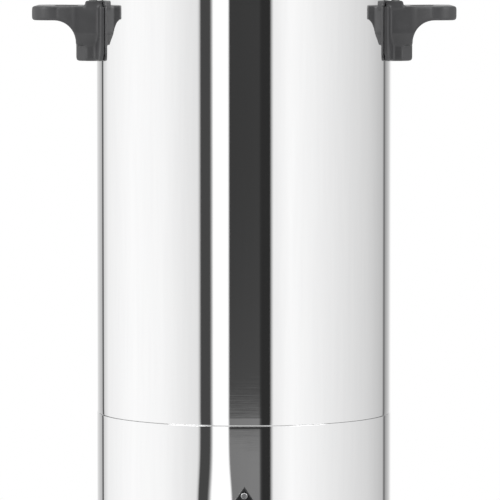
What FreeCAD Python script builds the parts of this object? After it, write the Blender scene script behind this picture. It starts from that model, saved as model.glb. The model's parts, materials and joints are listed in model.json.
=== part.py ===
"""Coffee urn for about fifteen litres: a percolating drink dispenser with a tap.

The frame is the urn's own. The origin is on its axis in the plane that it stands on, Z is
up, the tap is at the front on the -Y side, and the two handles are on the X axis.
Lengths are millimetres.
"""
import FreeCAD
import Part
import math
import os
from types import SimpleNamespace

import Sketcher

VECTOR = FreeCAD.Vector

# Driving dimensions
SIZES = {
    # Outer shells
    "body_radius": 115.0,
    "shell_wall": 0.8,
    "seam_height": 170.0,
    "seam_gap": 0.6,
    "lower_shell_step": 0.3,
    "edge_flange": 2.6,
    "edge_round": 1.2,
    "rim_height": 500.0,
    "rim_bead": 6.0,
    # Seam gasket
    "gasket_width": 1.6,
    "gasket_height": 20.0,
    "gasket_gap": 0.2,
    "gasket_tongue": 2.1,
    # Tank
    "tank_gap": 9.0,
    "tank_wall": 0.8,
    "tank_floor": 65.0,
    "tank_corner": 6.0,
    "well_radius": 30.0,
    "well_depth": 8.0,
    # Base
    "base_step": 4.0,
    "base_height": 38.0,
    "base_wall": 9.0,
    "base_flange_width": 12.0,
    "shell_foot": 30.0,
    "base_lip_gap": 0.3,
    "base_round": 2.0,
    "sole_thickness": 3.0,
    "sole_width": 10.0,
    "sole_inset": 1.0,
    "plate_level": 8.0,
    "plate_thickness": 1.2,
    "plate_inset": 12.0,
    "plate_gap": 0.3,
    "flange_thickness": 4.8,
    "plate_screw_inset": 4.5,
    "plate_screw_turn": 30.0,
    "small_head_radius": 3.8,
    "small_head_height": 2.0,
    "vent_circle": 60.0,
    "vent_radius": 4.0,
    # Centre stud and what it carries
    "stud_radius": 3.0,
    "stud_foot": 4.0,
    "nut_height": 4.0,
    "nut_radius": 5.8,
    "clamp_plate_gap": 2.0,
    "clamp_plate_wall": 1.5,
    "heat_shield_level": 36.0,
    "heat_shield_gap": 2.0,
    "heat_shield_wall": 0.8,
    # Heaters and controls under the tank
    "brew_heater_share": 0.45,
    "brew_heater_tube": 5.0,
    "warm_heater_inner_share": 0.64,
    "warm_heater_outer_share": 0.925,
    "warm_heater_height": 4.0,
    "heater_pin_radius": 2.5,
    "heater_pin_foot": 30.0,
    "heater_pin_spacing": 9.0,
    "warm_pin_share": 0.79,
    "thermostat_share": 0.775,
    "thermostat_radius": 9.0,
    "thermostat_height": 16.0,
    "blade_half_width": 3.0,
    "blade_place": 5.0,
    "blade_length": 7.0,
    "cutout_length": 20.0,
    "cutout_width": 9.0,
    "cutout_height": 7.0,
    "cutout_inset": 4.0,
    "block_width": 44.0,
    "block_depth": 20.0,
    "block_height": 16.0,
    "block_share": 0.52,
    "block_well_place": 5.0,
    "wire_radius": 1.6,
    "earth_place": 34.0,
    "earth_length": 12.0,
    # Handles
    "arm_reach": 33.8,
    "grip_depth": 15.8,
    "column_depth": 15.4,
    "handle_top_drop": 12.4,
    "handle_bottom_drop": 55.2,
    "arm_thickness": 11.1,
    "arm_corner": 2.3,
    "arm_half_width": 44.0,
    "arm_plan_corner": 15.0,
    "column_half_width": 28.5,
    "column_chamfer": 8.0,
    "gusset_foot_drop": 43.0,
    "gusset_top_drop": 26.0,
    "underarm_radius": 16.5,
    "finger_gap_half_length": 31.0,
    "flange_wall": 3.4,
    "waist_half_width": 36.4,
    "waist_start": 16.6,
    "waist_length": 13.0,
    "waist_round": 9.0,
    "flange_half_width": 40.5,
    "flange_corner": 5.0,
    "lug_height": 4.0,
    "lug_inner": 24.0,
    "lug_outer": 37.0,
    "lug_overhang": 7.9,
    "lug_sink": 2.0,
    "lug_face": 1.0,
    "handle_fit": 0.1,
    "handle_screw_radius": 2.0,
    "handle_screw_low_drop": 46.0,
    "handle_screw_high_drop": 26.0,
    "handle_screw_depth": 10.0,
    "handle_head_radius": 3.6,
    "screw_head_height": 2.5,
    "backing_half_width": 20.0,
    "backing_wall": 1.5,
    "backing_margin": 8.0,
    # Tap
    "tap_height": 84.0,
    "tap_shank_radius": 9.0,
    "tap_bore_radius": 6.0,
    "tap_bore_rise": 0.5,
    "tap_hole_gap": 0.3,
    "tap_shank_length": 12.0,
    "tap_barrel_radius": 12.0,
    "valve_overhang": 37.0,
    "chamber_radius": 13.0,
    "chamber_bore": 9.5,
    "chamber_rise": 13.0,
    "seat_drop": 7.0,
    "chamber_drop": 15.0,
    "spout_radius": 8.5,
    "spout_bore": 5.5,
    "spout_drop": 27.0,
    "spout_neck": 5.0,
    "bonnet_height": 8.0,
    "bonnet_radius": 13.8,
    "bonnet_plug": 4.0,
    "stem_radius": 2.5,
    "stem_gap": 0.1,
    "stem_rise": 32.0,
    "stem_flat": 3.0,
    "stem_round_length": 3.7,
    "seal_radius": 8.3,
    "seal_height": 5.0,
    "spring_radius": 5.6,
    "spring_wire": 0.5,
    "lever_offset": 8.0,
    "pivot_rise": 29.0,
    "lever_pin_radius": 1.5,
    "lever_width": 8.0,
    "lever_gap": 0.4,
    "ear_wall": 3.0,
    "ear_reach": 4.0,
    "lever_reach": 46.0,
    "lever_heel": 3.5,
    "heel_half_height": 2.5,
    "hub_half_height": 3.6,
    "neck_length": 20.0,
    "neck_rise": 5.0,
    "neck_half_height": 2.5,
    "paddle_width": 20.0,
    "paddle_root": 16.0,
    "paddle_shoulder": 26.0,
    "paddle_rise": 9.0,
    "paddle_half_wall": 2.1,
    "paddle_edge": 0.9,
    "paddle_corner": 6.0,
    "stem_slot_gap": 0.4,
    "stem_slot_reach": 3.6,
    "stem_pin_radius": 1.2,
    "stem_pin_gap": 0.6,
    "stem_pin_slot": 2.4,
    "washer_radius": 12.6,
    "washer_wall": 3.0,
    "lock_nut_radius": 13.0,
    "lock_nut_height": 6.0,
    # Shield behind the tap
    "shield_tip": 123.8,
    "shield_half_width": 19.0,
    "shield_slope": 0.7,
    "shield_foot": 50.0,
    "shield_wall": 3.2,
    "shield_gap": 0.05,
    "shield_bevel": 0.6,
    "shield_screw_head": 2.5,
    "shield_screw_head_height": 1.6,
    "shield_screw_grip": 6.0,
    "shield_screw_inset": 6.6,
    # Percolator
    "pump_tube_radius": 5.0,
    "pump_tube_wall": 0.8,
    "pump_foot_radius": 26.0,
    "pump_foot_height": 14.0,
    "pump_rim_height": 4.0,
    "pump_notch": 2.5,
    "pump_drop": 48.0,
    "basket_gap": 18.0,
    "basket_wall": 0.8,
    "basket_drop": 164.0,
    "basket_height": 96.0,
    "basket_hub_gap": 0.4,
    "basket_hub_wall": 1.0,
    "basket_hub_drop": 4.0,
    "collar_radius": 11.0,
    "collar_height": 3.0,
    "hole_radius": 2.0,
    "cover_wall": 1.0,
    "cover_lip": 5.0,
    "cover_edge": 8.0,
    "cover_slope": 6.0,
    "cover_dish": 1.6,
    "cover_rise": 8.0,
    # Lid
    "lid_wall": 0.8,
    "lid_rise": 24.0,
    "lid_overhang": 1.5,
    "lid_step": 2.0,
    "lid_skirt": 9.0,
    "lid_skirt_gap": 0.7,
    "lid_shoulder": 2.5,
    "steam_hole_circle": 70.0,
    "steam_hole_radius": 2.0,
    "knob_radius": 19.0,
    "knob_neck_radius": 9.0,
    "knob_neck_height": 13.0,
    "knob_foot_step": 2.7,
    "knob_foot_height": 4.0,
    "knob_head_height": 16.0,
    "knob_undercut": 2.0,
    "knob_round": 6.0,
    "knob_edge": 1.2,
    "knob_screw_radius": 2.5,
    "knob_screw_grip": 5.0,
    "knob_screw_head": 5.0,
    "knob_screw_head_height": 2.5,
    # Power inlet at the rear
    "inlet_height": 19.5,
    "inlet_half_width": 13.7,
    "inlet_half_height": 10.0,
    "inlet_depth": 28.0,
    "inlet_flange_half_width": 25.0,
    "inlet_flange_half_height": 12.0,
    "inlet_flange_wall": 2.5,
    "inlet_boss_half_width": 28.0,
    "inlet_boss_step": 3.0,
    "inlet_cavity_wall": 2.7,
    "inlet_cavity_depth": 16.0,
    "inlet_screw_half_pitch": 20.0,
    "inlet_screw_radius": 1.6,
    "inlet_screw_head": 3.0,
    "inlet_screw_head_height": 1.6,
    "inlet_screw_grip": 8.0,
    "pin_pitch": 7.0,
    "pin_rise": 2.0,
    "pin_half_width": 2.0,
    "pin_half_wall": 1.0,
    "pin_tail": 5.0,
    "pin_setback": 5.5,
    # Switch and lamps at the front
    "panel_height": 19.5,
    "switch_turn": 26.0,
    "switch_half_width": 7.5,
    "switch_half_height": 9.4,
    "switch_depth": 20.0,
    "bezel_margin": 1.5,
    "bezel_reach": 2.6,
    "bezel_wall": 1.0,
    "rocker_half_width": 5.6,
    "rocker_half_height": 7.4,
    "rocker_gap": 0.6,
    "rocker_tilt": 8.0,
    "rocker_face": 0.8,
    "rocker_heel": 3.0,
    "rocker_heel_half": 4.0,
    "axle_depth": 3.0,
    "axle_radius": 1.3,
    "axle_stub": 1.1,
    "axle_gap": 0.1,
    "pocket_depth": 8.0,
    "tab_half_width": 3.0,
    "tab_half_wall": 0.4,
    "tab_length": 7.0,
    "tab_low": 4.8,
    "tab_high": 5.8,
    "lamp_turn": -20.0,
    "lamp_step": -10.0,
    "lamp_radius": 4.2,
    "lamp_holder_radius": 5.6,
    "lamp_reach": 2.0,
    "lamp_rim": 1.0,
    "lamp_depth": 14.0,
}

doc = FreeCAD.newDocument("CoffeeUrn")
sheet = doc.addObject("Spreadsheet::Sheet", "Sizes")


class Dim:
    """A size: the expression that the document works it out by, and its value."""

    def __init__(self, text, value):
        self.text = text
        self.value = value

    @staticmethod
    def of(thing):
        return thing if isinstance(thing, Dim) else Dim(f"({thing!r})", float(thing))

    def join(self, sign, other, value):
        return Dim(f"({self.text} {sign} {other.text})", value)

    def __add__(self, other):
        other = Dim.of(other)
        return self.join("+", other, self.value + other.value)

    def __sub__(self, other):
        other = Dim.of(other)
        return self.join("-", other, self.value - other.value)

    def __mul__(self, other):
        other = Dim.of(other)
        return self.join("*", other, self.value * other.value)

    def __truediv__(self, other):
        other = Dim.of(other)
        return self.join("/", other, self.value / other.value)

    def __radd__(self, other):
        return Dim.of(other) + self

    def __rsub__(self, other):
        return Dim.of(other) - self

    def __rmul__(self, other):
        return Dim.of(other) * self

    def __neg__(self):
        return Dim.of(0) - self


def fill_sheet():
    """Writes the driving dimensions into the sheet and gives them back as sizes."""
    for row, (alias, value) in enumerate(SIZES.items(), start=1):
        sheet.set(f"A{row}", alias.replace("_", " "))
        sheet.set(f"B{row}", repr(value))
        sheet.setAlias(f"B{row}", alias)
    doc.recompute()
    return SimpleNamespace(**{alias: Dim(f"Sizes.{alias}", value) for alias, value in SIZES.items()})


S = fill_sheet()

# Turns that point a primitive's own Z axis along a row axis
TURNS = {
    "z": FreeCAD.Rotation(),
    "y": FreeCAD.Rotation(VECTOR(1, 0, 0), -90),
    "x": FreeCAD.Rotation(VECTOR(0, 1, 0), 90),
}

subparts = {}


def bind(item, name, dim):
    item.setExpression(name, Dim.of(dim).text)


def place(item, base, along="z"):
    item.Placement = FreeCAD.Placement(VECTOR(), TURNS[along])
    for axis, dim in zip("xyz", base):
        bind(item, f".Placement.Base.{axis}", dim)


def cylinder(radius, length, base=(0, 0, 0), along="z"):
    item = doc.addObject("Part::Cylinder", "Round")
    bind(item, "Radius", radius)
    bind(item, "Height", length)
    place(item, base, along)
    return item


def cone(foot_radius, top_radius, height, base=(0, 0, 0)):
    item = doc.addObject("Part::Cone", "Taper")
    bind(item, "Radius1", foot_radius)
    bind(item, "Radius2", top_radius)
    bind(item, "Height", height)
    place(item, base)
    return item


def hexagon(radius, height, base=(0, 0, 0), along="z"):
    item = doc.addObject("Part::Prism", "Hexagon")
    item.Polygon = 6
    bind(item, "Circumradius", radius)
    bind(item, "Height", height)
    place(item, base, along)
    return item


def block(low, high):
    """A box between two corners."""
    item = doc.addObject("Part::Box", "Block")
    for name, start, end in zip(("Length", "Width", "Height"), low, high):
        bind(item, name, Dim.of(end) - start)
    place(item, low)
    return item


def centred_block(half_x, y_low, y_high, z_low, z_high):
    return block((-Dim.of(half_x), y_low, z_low), (half_x, y_high, z_high))


def ball(radius, base):
    item = doc.addObject("Part::Sphere", "Ball")
    bind(item, "Radius", radius)
    place(item, base)
    return item


def ring(circle, thickness, base):
    item = doc.addObject("Part::Torus", "Ring")
    bind(item, "Radius1", circle)
    bind(item, "Radius2", thickness)
    place(item, base)
    return item


def fuse(*shapes):
    item = doc.addObject("Part::MultiFuse", "Joined")
    item.Shapes = list(shapes)
    return item


def common(*shapes):
    item = doc.addObject("Part::MultiCommon", "Shared")
    item.Shapes = list(shapes)
    return item


def cut(base, *tools):
    item = doc.addObject("Part::Cut", "Pierced")
    item.Base = base
    item.Tool = tools[0] if len(tools) == 1 else fuse(*tools)
    return item


def cut_in_turn(base, *tools):
    """The same as cut, one tool after the other, with the faces left as they come."""
    for tool in tools:
        base = cut(base, tool)
        base.Refine = False
    return base


def group(*shapes):
    """Separate solids that are counted as one sub-part."""
    item = doc.addObject("Part::Compound", "Set")
    item.Links = list(shapes)
    return item


def mirrored(source, normal=VECTOR(1, 0, 0)):
    item = doc.addObject("Part::Mirroring", "Mirrored")
    item.Source = source
    item.Normal = normal
    return item


def turned(source, degrees):
    """A copy of a shape turned about the urn's axis."""
    item = doc.addObject("Part::Compound", "Turned")
    item.Links = [source]
    item.Placement = FreeCAD.Placement(VECTOR(), FreeCAD.Rotation(VECTOR(0, 0, 1), 0))
    bind(item, ".Placement.Rotation.Angle", degrees)
    return item


def tube(outer, inner, length, base=(0, 0, 0), along="z"):
    return cut(cylinder(outer, length, base, along), cylinder(inner, length, base, along))


def body_on(plane, offset=None):
    """A body with a sketch on one of its own origin planes."""
    body = doc.addObject("PartDesign::Body", "Body")
    sketch = body.newObject("Sketcher::SketchObject", "Outline")
    support = [item for item in body.Origin.OriginFeatures if item.Role == plane][0]
    sketch.AttachmentSupport = [(support, "")]
    sketch.MapMode = "FlatFace"
    if offset is not None:
        bind(sketch, "AttachmentOffset.Base.z", offset)
    return body, sketch


def arc_on_axis(start, end):
    """The arc between two points whose centre is on the sketch's vertical axis."""
    (start_x, start_z), (end_x, end_z) = start, end
    centre = (start_x ** 2 + start_z ** 2 - end_x ** 2 - end_z ** 2) / (2 * (start_z - end_z))
    first = math.atan2(start_z - centre, start_x)
    last = math.atan2(end_z - centre, end_x)
    radius = math.hypot(start_x, start_z - centre)
    circle = Part.Circle(VECTOR(0, centre, 0), VECTOR(0, 0, 1), radius)
    return Part.ArcOfCircle(circle, min(first, last), max(first, last)), first < last


def draw(sketch, outline, domes=()):
    """Draws a closed outline, whose points are pairs of sizes.

    A side whose number is in domes is an arc about the sketch's vertical axis.
    """
    points = [(Dim.of(across), Dim.of(up)) for across, up in outline]
    ends = []
    for side, point in enumerate(points):
        follower = points[(side + 1) % len(points)]
        start = (point[0].value, point[1].value)
        end = (follower[0].value, follower[1].value)
        if side in domes:
            arc, forward = arc_on_axis(start, end)
            sketch.addGeometry(arc, False)
            sketch.addConstraint(Sketcher.Constraint("PointOnObject", side, 3, -2))
            ends.append((1, 2) if forward else (2, 1))
        else:
            sketch.addGeometry(Part.LineSegment(VECTOR(*start, 0), VECTOR(*end, 0)), False)
            ends.append((1, 2))
    for side, point in enumerate(points):
        follower = (side + 1) % len(points)
        sketch.addConstraint(
            Sketcher.Constraint("Coincident", side, ends[side][1], follower, ends[follower][0]))
        for kind, dim, axis in (("DistanceX", point[0], -2), ("DistanceY", point[1], -1)):
            if dim.value == 0:
                sketch.addConstraint(Sketcher.Constraint("PointOnObject", side, ends[side][0], axis))
                continue
            number = sketch.addConstraint(
                Sketcher.Constraint(kind, -1, 1, side, ends[side][0], dim.value))
            bind(sketch, f"Constraints[{number}]", dim)


def revolved(outline, domes=(), rounds=()):
    """A body turned about the urn's axis.

    Each of rounds is a radius and the corners of the outline that it rounds.
    """
    body, sketch = body_on("XZ_Plane")
    draw(sketch, outline, domes)
    feature = body.newObject("PartDesign::Revolution", "Revolution")
    feature.Profile = sketch
    feature.ReferenceAxis = (sketch, ["V_Axis"])
    feature.Angle = 360
    for radius, corners in rounds:
        doc.recompute()
        places = [(outline[corner][0], outline[corner][1]) for corner in corners]
        wanted = [(Dim.of(across).value, Dim.of(up).value) for across, up in places]
        names = []
        for number, edge in enumerate(feature.Shape.Edges, start=1):
            box = edge.BoundBox
            if box.ZLength > 0.001:
                continue
            if any(abs(box.XMax - across) < 0.01 and abs(box.ZMax - up) < 0.01 for across, up in wanted):
                names.append(f"Edge{number}")
        rounding = body.newObject("PartDesign::Fillet", "Rounding")
        rounding.Base = (feature, names)
        bind(rounding, "Radius", radius)
        feature = rounding
    body.Tip = feature
    return body


def padded(plane, outline, length, offset=None, midplane=False):
    body, sketch = body_on(plane, offset)
    draw(sketch, outline)
    feature = body.newObject("PartDesign::Pad", "Pad")
    feature.Profile = sketch
    bind(feature, "Length", length)
    if midplane:
        feature.Midplane = True
    body.Tip = feature
    return body


def rounded(body, radius, choose):
    """Rounds the edges of a body's last feature that choose() picks."""
    doc.recompute()
    feature = body.Tip
    names = [f"Edge{number}" for number, edge in enumerate(feature.Shape.Edges, start=1) if choose(edge)]
    rounding = body.newObject("PartDesign::Fillet", "Rounding")
    rounding.Base = (feature, names)
    bind(rounding, "Radius", radius)
    body.Tip = rounding
    return body


def softened(source, radius, choose, kind="Part::Fillet"):
    """A built shape with the edges that choose() picks rounded or bevelled."""
    doc.recompute()
    item = doc.addObject(kind, "Softened")
    item.Base = source
    width = Dim.of(radius).value
    item.Edges = [(number, width, width)
                  for number, edge in enumerate(source.Shape.Edges, start=1) if choose(edge)]
    return item


def keep(name, item):
    """Gives a finished sub-part its name."""
    item.Label = name
    subparts[name] = item


def near(first, second, slack=0.01):
    return abs(first - Dim.of(second).value) < slack


def upright_at(across, along):
    """Picks the upright edge of a pad at a place in its plan."""
    def choose(edge):
        box = edge.BoundBox
        return (box.XLength < 0.01 and box.YLength < 0.01
                and near(box.XMin, across) and near(box.YMin, along))
    return choose


# Sizes measured from the shell's radius
S.tank_radius = S.body_radius - S.tank_gap
S.base_radius = S.body_radius + S.base_step
S.base_inner_radius = S.base_radius - S.base_wall
S.base_flange_radius = S.base_inner_radius - S.base_flange_width
S.plate_radius = S.base_radius - S.plate_inset
S.plate_screw_circle = S.plate_radius - S.plate_screw_inset
S.heat_shield_radius = S.tank_radius - S.heat_shield_gap
S.brew_heater_circle = S.tank_radius * S.brew_heater_share
S.warm_heater_inner = S.tank_radius * S.warm_heater_inner_share
S.warm_heater_outer = S.tank_radius * S.warm_heater_outer_share
S.warm_pin_circle = S.tank_radius * S.warm_pin_share
S.thermostat_circle = S.tank_radius * S.thermostat_share
S.block_place = S.body_radius * S.block_share
S.column_face = S.body_radius + S.column_depth
S.handle_reach = S.column_face + S.arm_reach
S.finger_gap_width = S.arm_reach - S.grip_depth
S.lug_reach = S.body_radius + S.lug_overhang
S.valve_place = S.body_radius + S.valve_overhang
S.basket_radius = S.tank_radius - S.basket_gap
S.lid_radius = S.body_radius + S.lid_overhang
S.inlet_boss_face = S.base_radius + S.inlet_boss_step

# Heights measured from the rim
S.handle_top = S.rim_height - S.handle_top_drop
S.handle_bottom = S.rim_height - S.handle_bottom_drop
S.gusset_foot = S.rim_height - S.gusset_foot_drop
S.gusset_top = S.rim_height - S.gusset_top_drop
S.handle_screw_low = S.rim_height - S.handle_screw_low_drop
S.handle_screw_high = S.rim_height - S.handle_screw_high_drop
S.basket_floor = S.rim_height - S.basket_drop
S.pump_top = S.rim_height - S.pump_drop

# Heights measured from the tap's axis
S.chamber_top = S.tap_height + S.chamber_rise
S.seat_height = S.tap_height - S.seat_drop
S.chamber_foot = S.tap_height - S.chamber_drop
S.spout_end = S.tap_height - S.spout_drop
S.stem_top = S.tap_height + S.stem_rise
S.lever_pivot_height = S.tap_height + S.pivot_rise

# How far a cutting shape runs past what it cuts
CLEAR = 5.0

# The wells of the terminal block, as shares of its width
WELL_SHARES = (-0.36, -0.12, 0.12, 0.36)

# Rings of holes: how many, and how far out as a share of the basket's radius
BASKET_HOLES = ((8, 0.3), (12, 0.5), (16, 0.7), (20, 0.88))
COVER_HOLES = ((8, 0.36), (12, 0.54), (16, 0.7))

# Places that several sub-parts share
SHELL_INSIDE = S.body_radius - S.shell_wall
LOWER_RADIUS = S.body_radius + S.lower_shell_step
LOWER_INSIDE = LOWER_RADIUS - S.shell_wall
LOWER_TOP = S.seam_height - S.seam_gap
FLANGE_EDGE = S.body_radius - S.edge_flange
BEAD_FOOT = S.rim_height - S.rim_bead
TANK_INSIDE = S.tank_radius - S.tank_wall
WELL_FLOOR = S.tank_floor - S.well_depth
PLATE_TOP = S.plate_level + S.plate_thickness
CLAMP_TOP = S.tank_floor - 2 * S.brew_heater_tube
CLAMP_FOOT = CLAMP_TOP - S.clamp_plate_wall
WARM_FOOT = S.tank_floor - S.warm_heater_height
SHIELD_FACE = LOWER_RADIUS + S.shield_gap + S.shield_wall
PIVOT_PLACE = -(S.valve_place + S.lever_offset)


def whole():
    return S.rim_height * 2


def front_bore(radius, height):
    """A cylinder from the valve's place to the urn's axis, at a height."""
    return cylinder(radius, S.valve_place, (0, -S.valve_place, height), "y")


def at_valve(radius, low, high):
    """An upright cylinder on the valve's own axis."""
    return cylinder(radius, high - low, (0, -S.valve_place, low))


def make_shells():
    """The two polished shells that meet at the seam, and the gasket behind it."""
    tap_hole = front_bore(S.tap_shank_radius + S.tap_hole_gap, S.tap_height)
    screw_holes = [
        cylinder(S.handle_screw_radius + S.handle_fit, 4 * S.body_radius,
                 (-2 * S.body_radius, 0, height), "x")
        for height in (S.handle_screw_low, S.handle_screw_high)]
    upper = revolved(
        [(S.body_radius, S.seam_height), (S.body_radius, BEAD_FOOT), (SHELL_INSIDE, BEAD_FOOT),
         (SHELL_INSIDE, S.seam_height + S.shell_wall), (FLANGE_EDGE, S.seam_height + S.shell_wall),
         (FLANGE_EDGE, S.seam_height)],
        rounds=[(S.edge_round, [0])])
    keep("upper_shell", cut(upper, *screw_holes))

    lower = revolved(
        [(LOWER_RADIUS, S.shell_foot), (LOWER_RADIUS, LOWER_TOP), (FLANGE_EDGE, LOWER_TOP),
         (FLANGE_EDGE, LOWER_TOP - S.shell_wall), (LOWER_INSIDE, LOWER_TOP - S.shell_wall),
         (LOWER_INSIDE, S.shell_foot)],
        rounds=[(S.edge_round, [1])])
    shield_holes = [front_bore(S.handle_screw_radius + S.handle_fit, height)
                    for height in shield_screw_heights()]
    keep("lower_shell", cut(lower, tap_hole, *shield_holes))

    gasket_outside = FLANGE_EDGE - S.gasket_gap
    gasket_inside = gasket_outside - S.gasket_width
    tongue_edge = gasket_outside + S.gasket_tongue
    gasket_foot = LOWER_TOP - S.gasket_height / 2
    gasket_top = S.seam_height + S.gasket_height / 2
    keep("seam_gasket", revolved(
        [(gasket_inside, gasket_foot), (gasket_outside, gasket_foot), (gasket_outside, LOWER_TOP),
         (tongue_edge, LOWER_TOP), (tongue_edge, S.seam_height), (gasket_outside, S.seam_height),
         (gasket_outside, gasket_top), (gasket_inside, gasket_top)]))


def make_tank():
    """The tank: a deep-drawn pan with a well in its floor and a rolled bead over the shell's rim."""
    bead_inside = S.body_radius - S.rim_bead / 2
    bead_outside = S.body_radius + S.rim_bead / 2
    well_inside = S.well_radius - S.tank_wall
    floor_top = S.tank_floor + S.tank_wall
    bead_round = S.rim_bead * 0.43
    shape = revolved(
        [(0, WELL_FLOOR), (S.well_radius, WELL_FLOOR), (S.well_radius, S.tank_floor),
         (S.tank_radius, S.tank_floor), (S.tank_radius, S.rim_height - S.tank_wall),
         (bead_inside, S.rim_height - S.tank_wall), (bead_inside, BEAD_FOOT),
         (bead_outside, BEAD_FOOT), (bead_outside, S.rim_height), (TANK_INSIDE, S.rim_height),
         (TANK_INSIDE, floor_top), (well_inside, floor_top),
         (well_inside, WELL_FLOOR + S.tank_wall), (0, WELL_FLOOR + S.tank_wall)],
        rounds=[(bead_round, [6, 7, 8]), (S.tank_corner, [3]), (S.tank_corner - S.tank_wall, [10])])
    keep("tank", cut(shape, front_bore(S.tap_shank_radius + S.tap_hole_gap, S.tap_height)))


def make_base():
    """The moulded base ring with its rubber sole, bottom plate and screws."""
    lip = LOWER_RADIUS + S.base_lip_gap
    flange_top = PLATE_TOP + S.flange_thickness
    plate_room = S.plate_radius + S.plate_gap
    ring_shape = revolved(
        [(S.base_radius, S.sole_thickness), (S.base_radius, S.base_height), (lip, S.base_height),
         (lip, S.shell_foot), (S.base_inner_radius, S.shell_foot), (S.base_inner_radius, flange_top),
         (S.base_flange_radius, flange_top), (S.base_flange_radius, PLATE_TOP),
         (plate_room, PLATE_TOP), (plate_room, S.sole_thickness)],
        rounds=[(S.base_round, [1])])
    boss = centred_block(S.inlet_boss_half_width, S.base_inner_radius, S.inlet_boss_face,
                         S.sole_thickness, S.base_height - S.base_round)
    boss = cut(boss, cylinder(plate_room, PLATE_TOP, (0, 0, 0)),
               cylinder(lip, S.rim_height, (0, 0, S.shell_foot)))
    lamp_room = cylinder(S.lamp_holder_radius, S.lamp_depth + 2 * CLEAR,
                         (0, -S.base_radius - CLEAR, S.panel_height), "y")
    plate_screw_turns = [S.plate_screw_turn + 120 * number for number in range(3)]
    rooms = [turned(switch_block(), S.switch_turn), inlet_block(),
             *[turned(lamp_room, S.lamp_turn + S.lamp_step * number) for number in range(2)]]
    screw_rooms = [
        *[cylinder(S.inlet_screw_radius, S.inlet_depth / 2,
                   (side * S.inlet_screw_half_pitch, S.inlet_boss_face - S.inlet_depth / 3,
                    S.inlet_height), "y")
          for side in (-1, 1)],
        *[turned(cylinder(S.handle_screw_radius, flange_top,
                          (S.plate_screw_circle, 0, S.sole_thickness)), turn)
          for turn in plate_screw_turns],
    ]
    keep("base_ring", cut_in_turn(fuse(ring_shape, boss), *rooms, *screw_rooms))

    sole_outside = S.base_radius - S.sole_inset
    keep("rubber_sole", revolved(
        [(sole_outside - S.sole_width, 0), (sole_outside, 0),
         (sole_outside, S.sole_thickness), (sole_outside - S.sole_width, S.sole_thickness)]))

    vents = [turned(cylinder(S.vent_radius, S.base_height, (S.vent_circle, 0, 0)), 30 * number)
             for number in range(12)]
    plate_hole = cylinder(S.handle_screw_radius + S.handle_fit, S.base_height, (S.plate_screw_circle, 0, 0))
    plate_holes = [turned(plate_hole, turn) for turn in plate_screw_turns]
    earth_hole = cylinder(S.handle_screw_radius, S.base_height, (S.earth_place, 0, 0))
    centre_hole = cylinder(S.stud_radius + S.handle_fit, S.base_height)
    keep("bottom_plate", cut(
        cylinder(S.plate_radius, S.plate_thickness, (0, 0, S.plate_level)),
        *vents, *plate_holes, earth_hole, centre_hole))

    screw = fuse(
        cylinder(S.small_head_radius, S.small_head_height,
                 (S.plate_screw_circle, 0, S.plate_level - S.small_head_height)),
        cylinder(S.handle_screw_radius, S.flange_thickness + S.plate_thickness,
                 (S.plate_screw_circle, 0, S.plate_level)))
    keep("bottom_plate_screws", group(*[turned(screw, turn) for turn in plate_screw_turns]))


def make_stud():
    """The centre stud and what it clamps to the tank's floor."""
    keep("centre_stud", cylinder(S.stud_radius, WELL_FLOOR - S.stud_foot, (0, 0, S.stud_foot)))
    hole = cylinder(S.stud_radius + S.handle_fit, S.rim_height)
    levels = (S.plate_level - S.nut_height, S.heat_shield_level - S.nut_height, CLAMP_FOOT - S.nut_height)
    nuts = [cut(hexagon(S.nut_radius, S.nut_height, (0, 0, level)), hole) for level in levels]
    keep("stud_nuts", group(*nuts))
    spacer_foot = S.heat_shield_level + S.heat_shield_wall
    keep("shield_spacer", cut(
        cylinder(S.nut_radius, CLAMP_FOOT - S.nut_height - spacer_foot, (0, 0, spacer_foot)), hole))

    pins = heater_pin_places()
    rooms = [cylinder(2 * S.heater_pin_radius, S.rim_height, (across, along, 0)) for across, along in pins]
    thermostat_room = cylinder(S.thermostat_radius + 2, S.rim_height, (-S.thermostat_circle, 0, 0))
    step_inside = S.brew_heater_circle + 2 * S.brew_heater_tube
    step_outside = step_inside + 3 * S.clamp_plate_wall
    plate = revolved(
        [(S.stud_radius + S.handle_fit, CLAMP_FOOT), (step_inside, CLAMP_FOOT),
         (step_outside, WARM_FOOT - S.clamp_plate_wall),
         (S.warm_heater_outer, WARM_FOOT - S.clamp_plate_wall),
         (S.warm_heater_outer, WARM_FOOT), (step_outside - S.clamp_plate_wall / 2, WARM_FOOT),
         (step_inside - S.clamp_plate_wall / 2, CLAMP_TOP), (S.stud_radius + S.handle_fit, CLAMP_TOP)])
    keep("heater_clamp_plate", cut(plate, *rooms, thermostat_room))

    shield = cylinder(S.heat_shield_radius, S.heat_shield_wall, (0, 0, S.heat_shield_level))
    keep("heat_shield", cut(shield, hole, *rooms))


def heater_pin_places():
    half = S.heater_pin_spacing
    return [(S.brew_heater_circle, half), (S.brew_heater_circle, -half),
            (S.warm_pin_circle, half), (S.warm_pin_circle, -half)]


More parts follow.
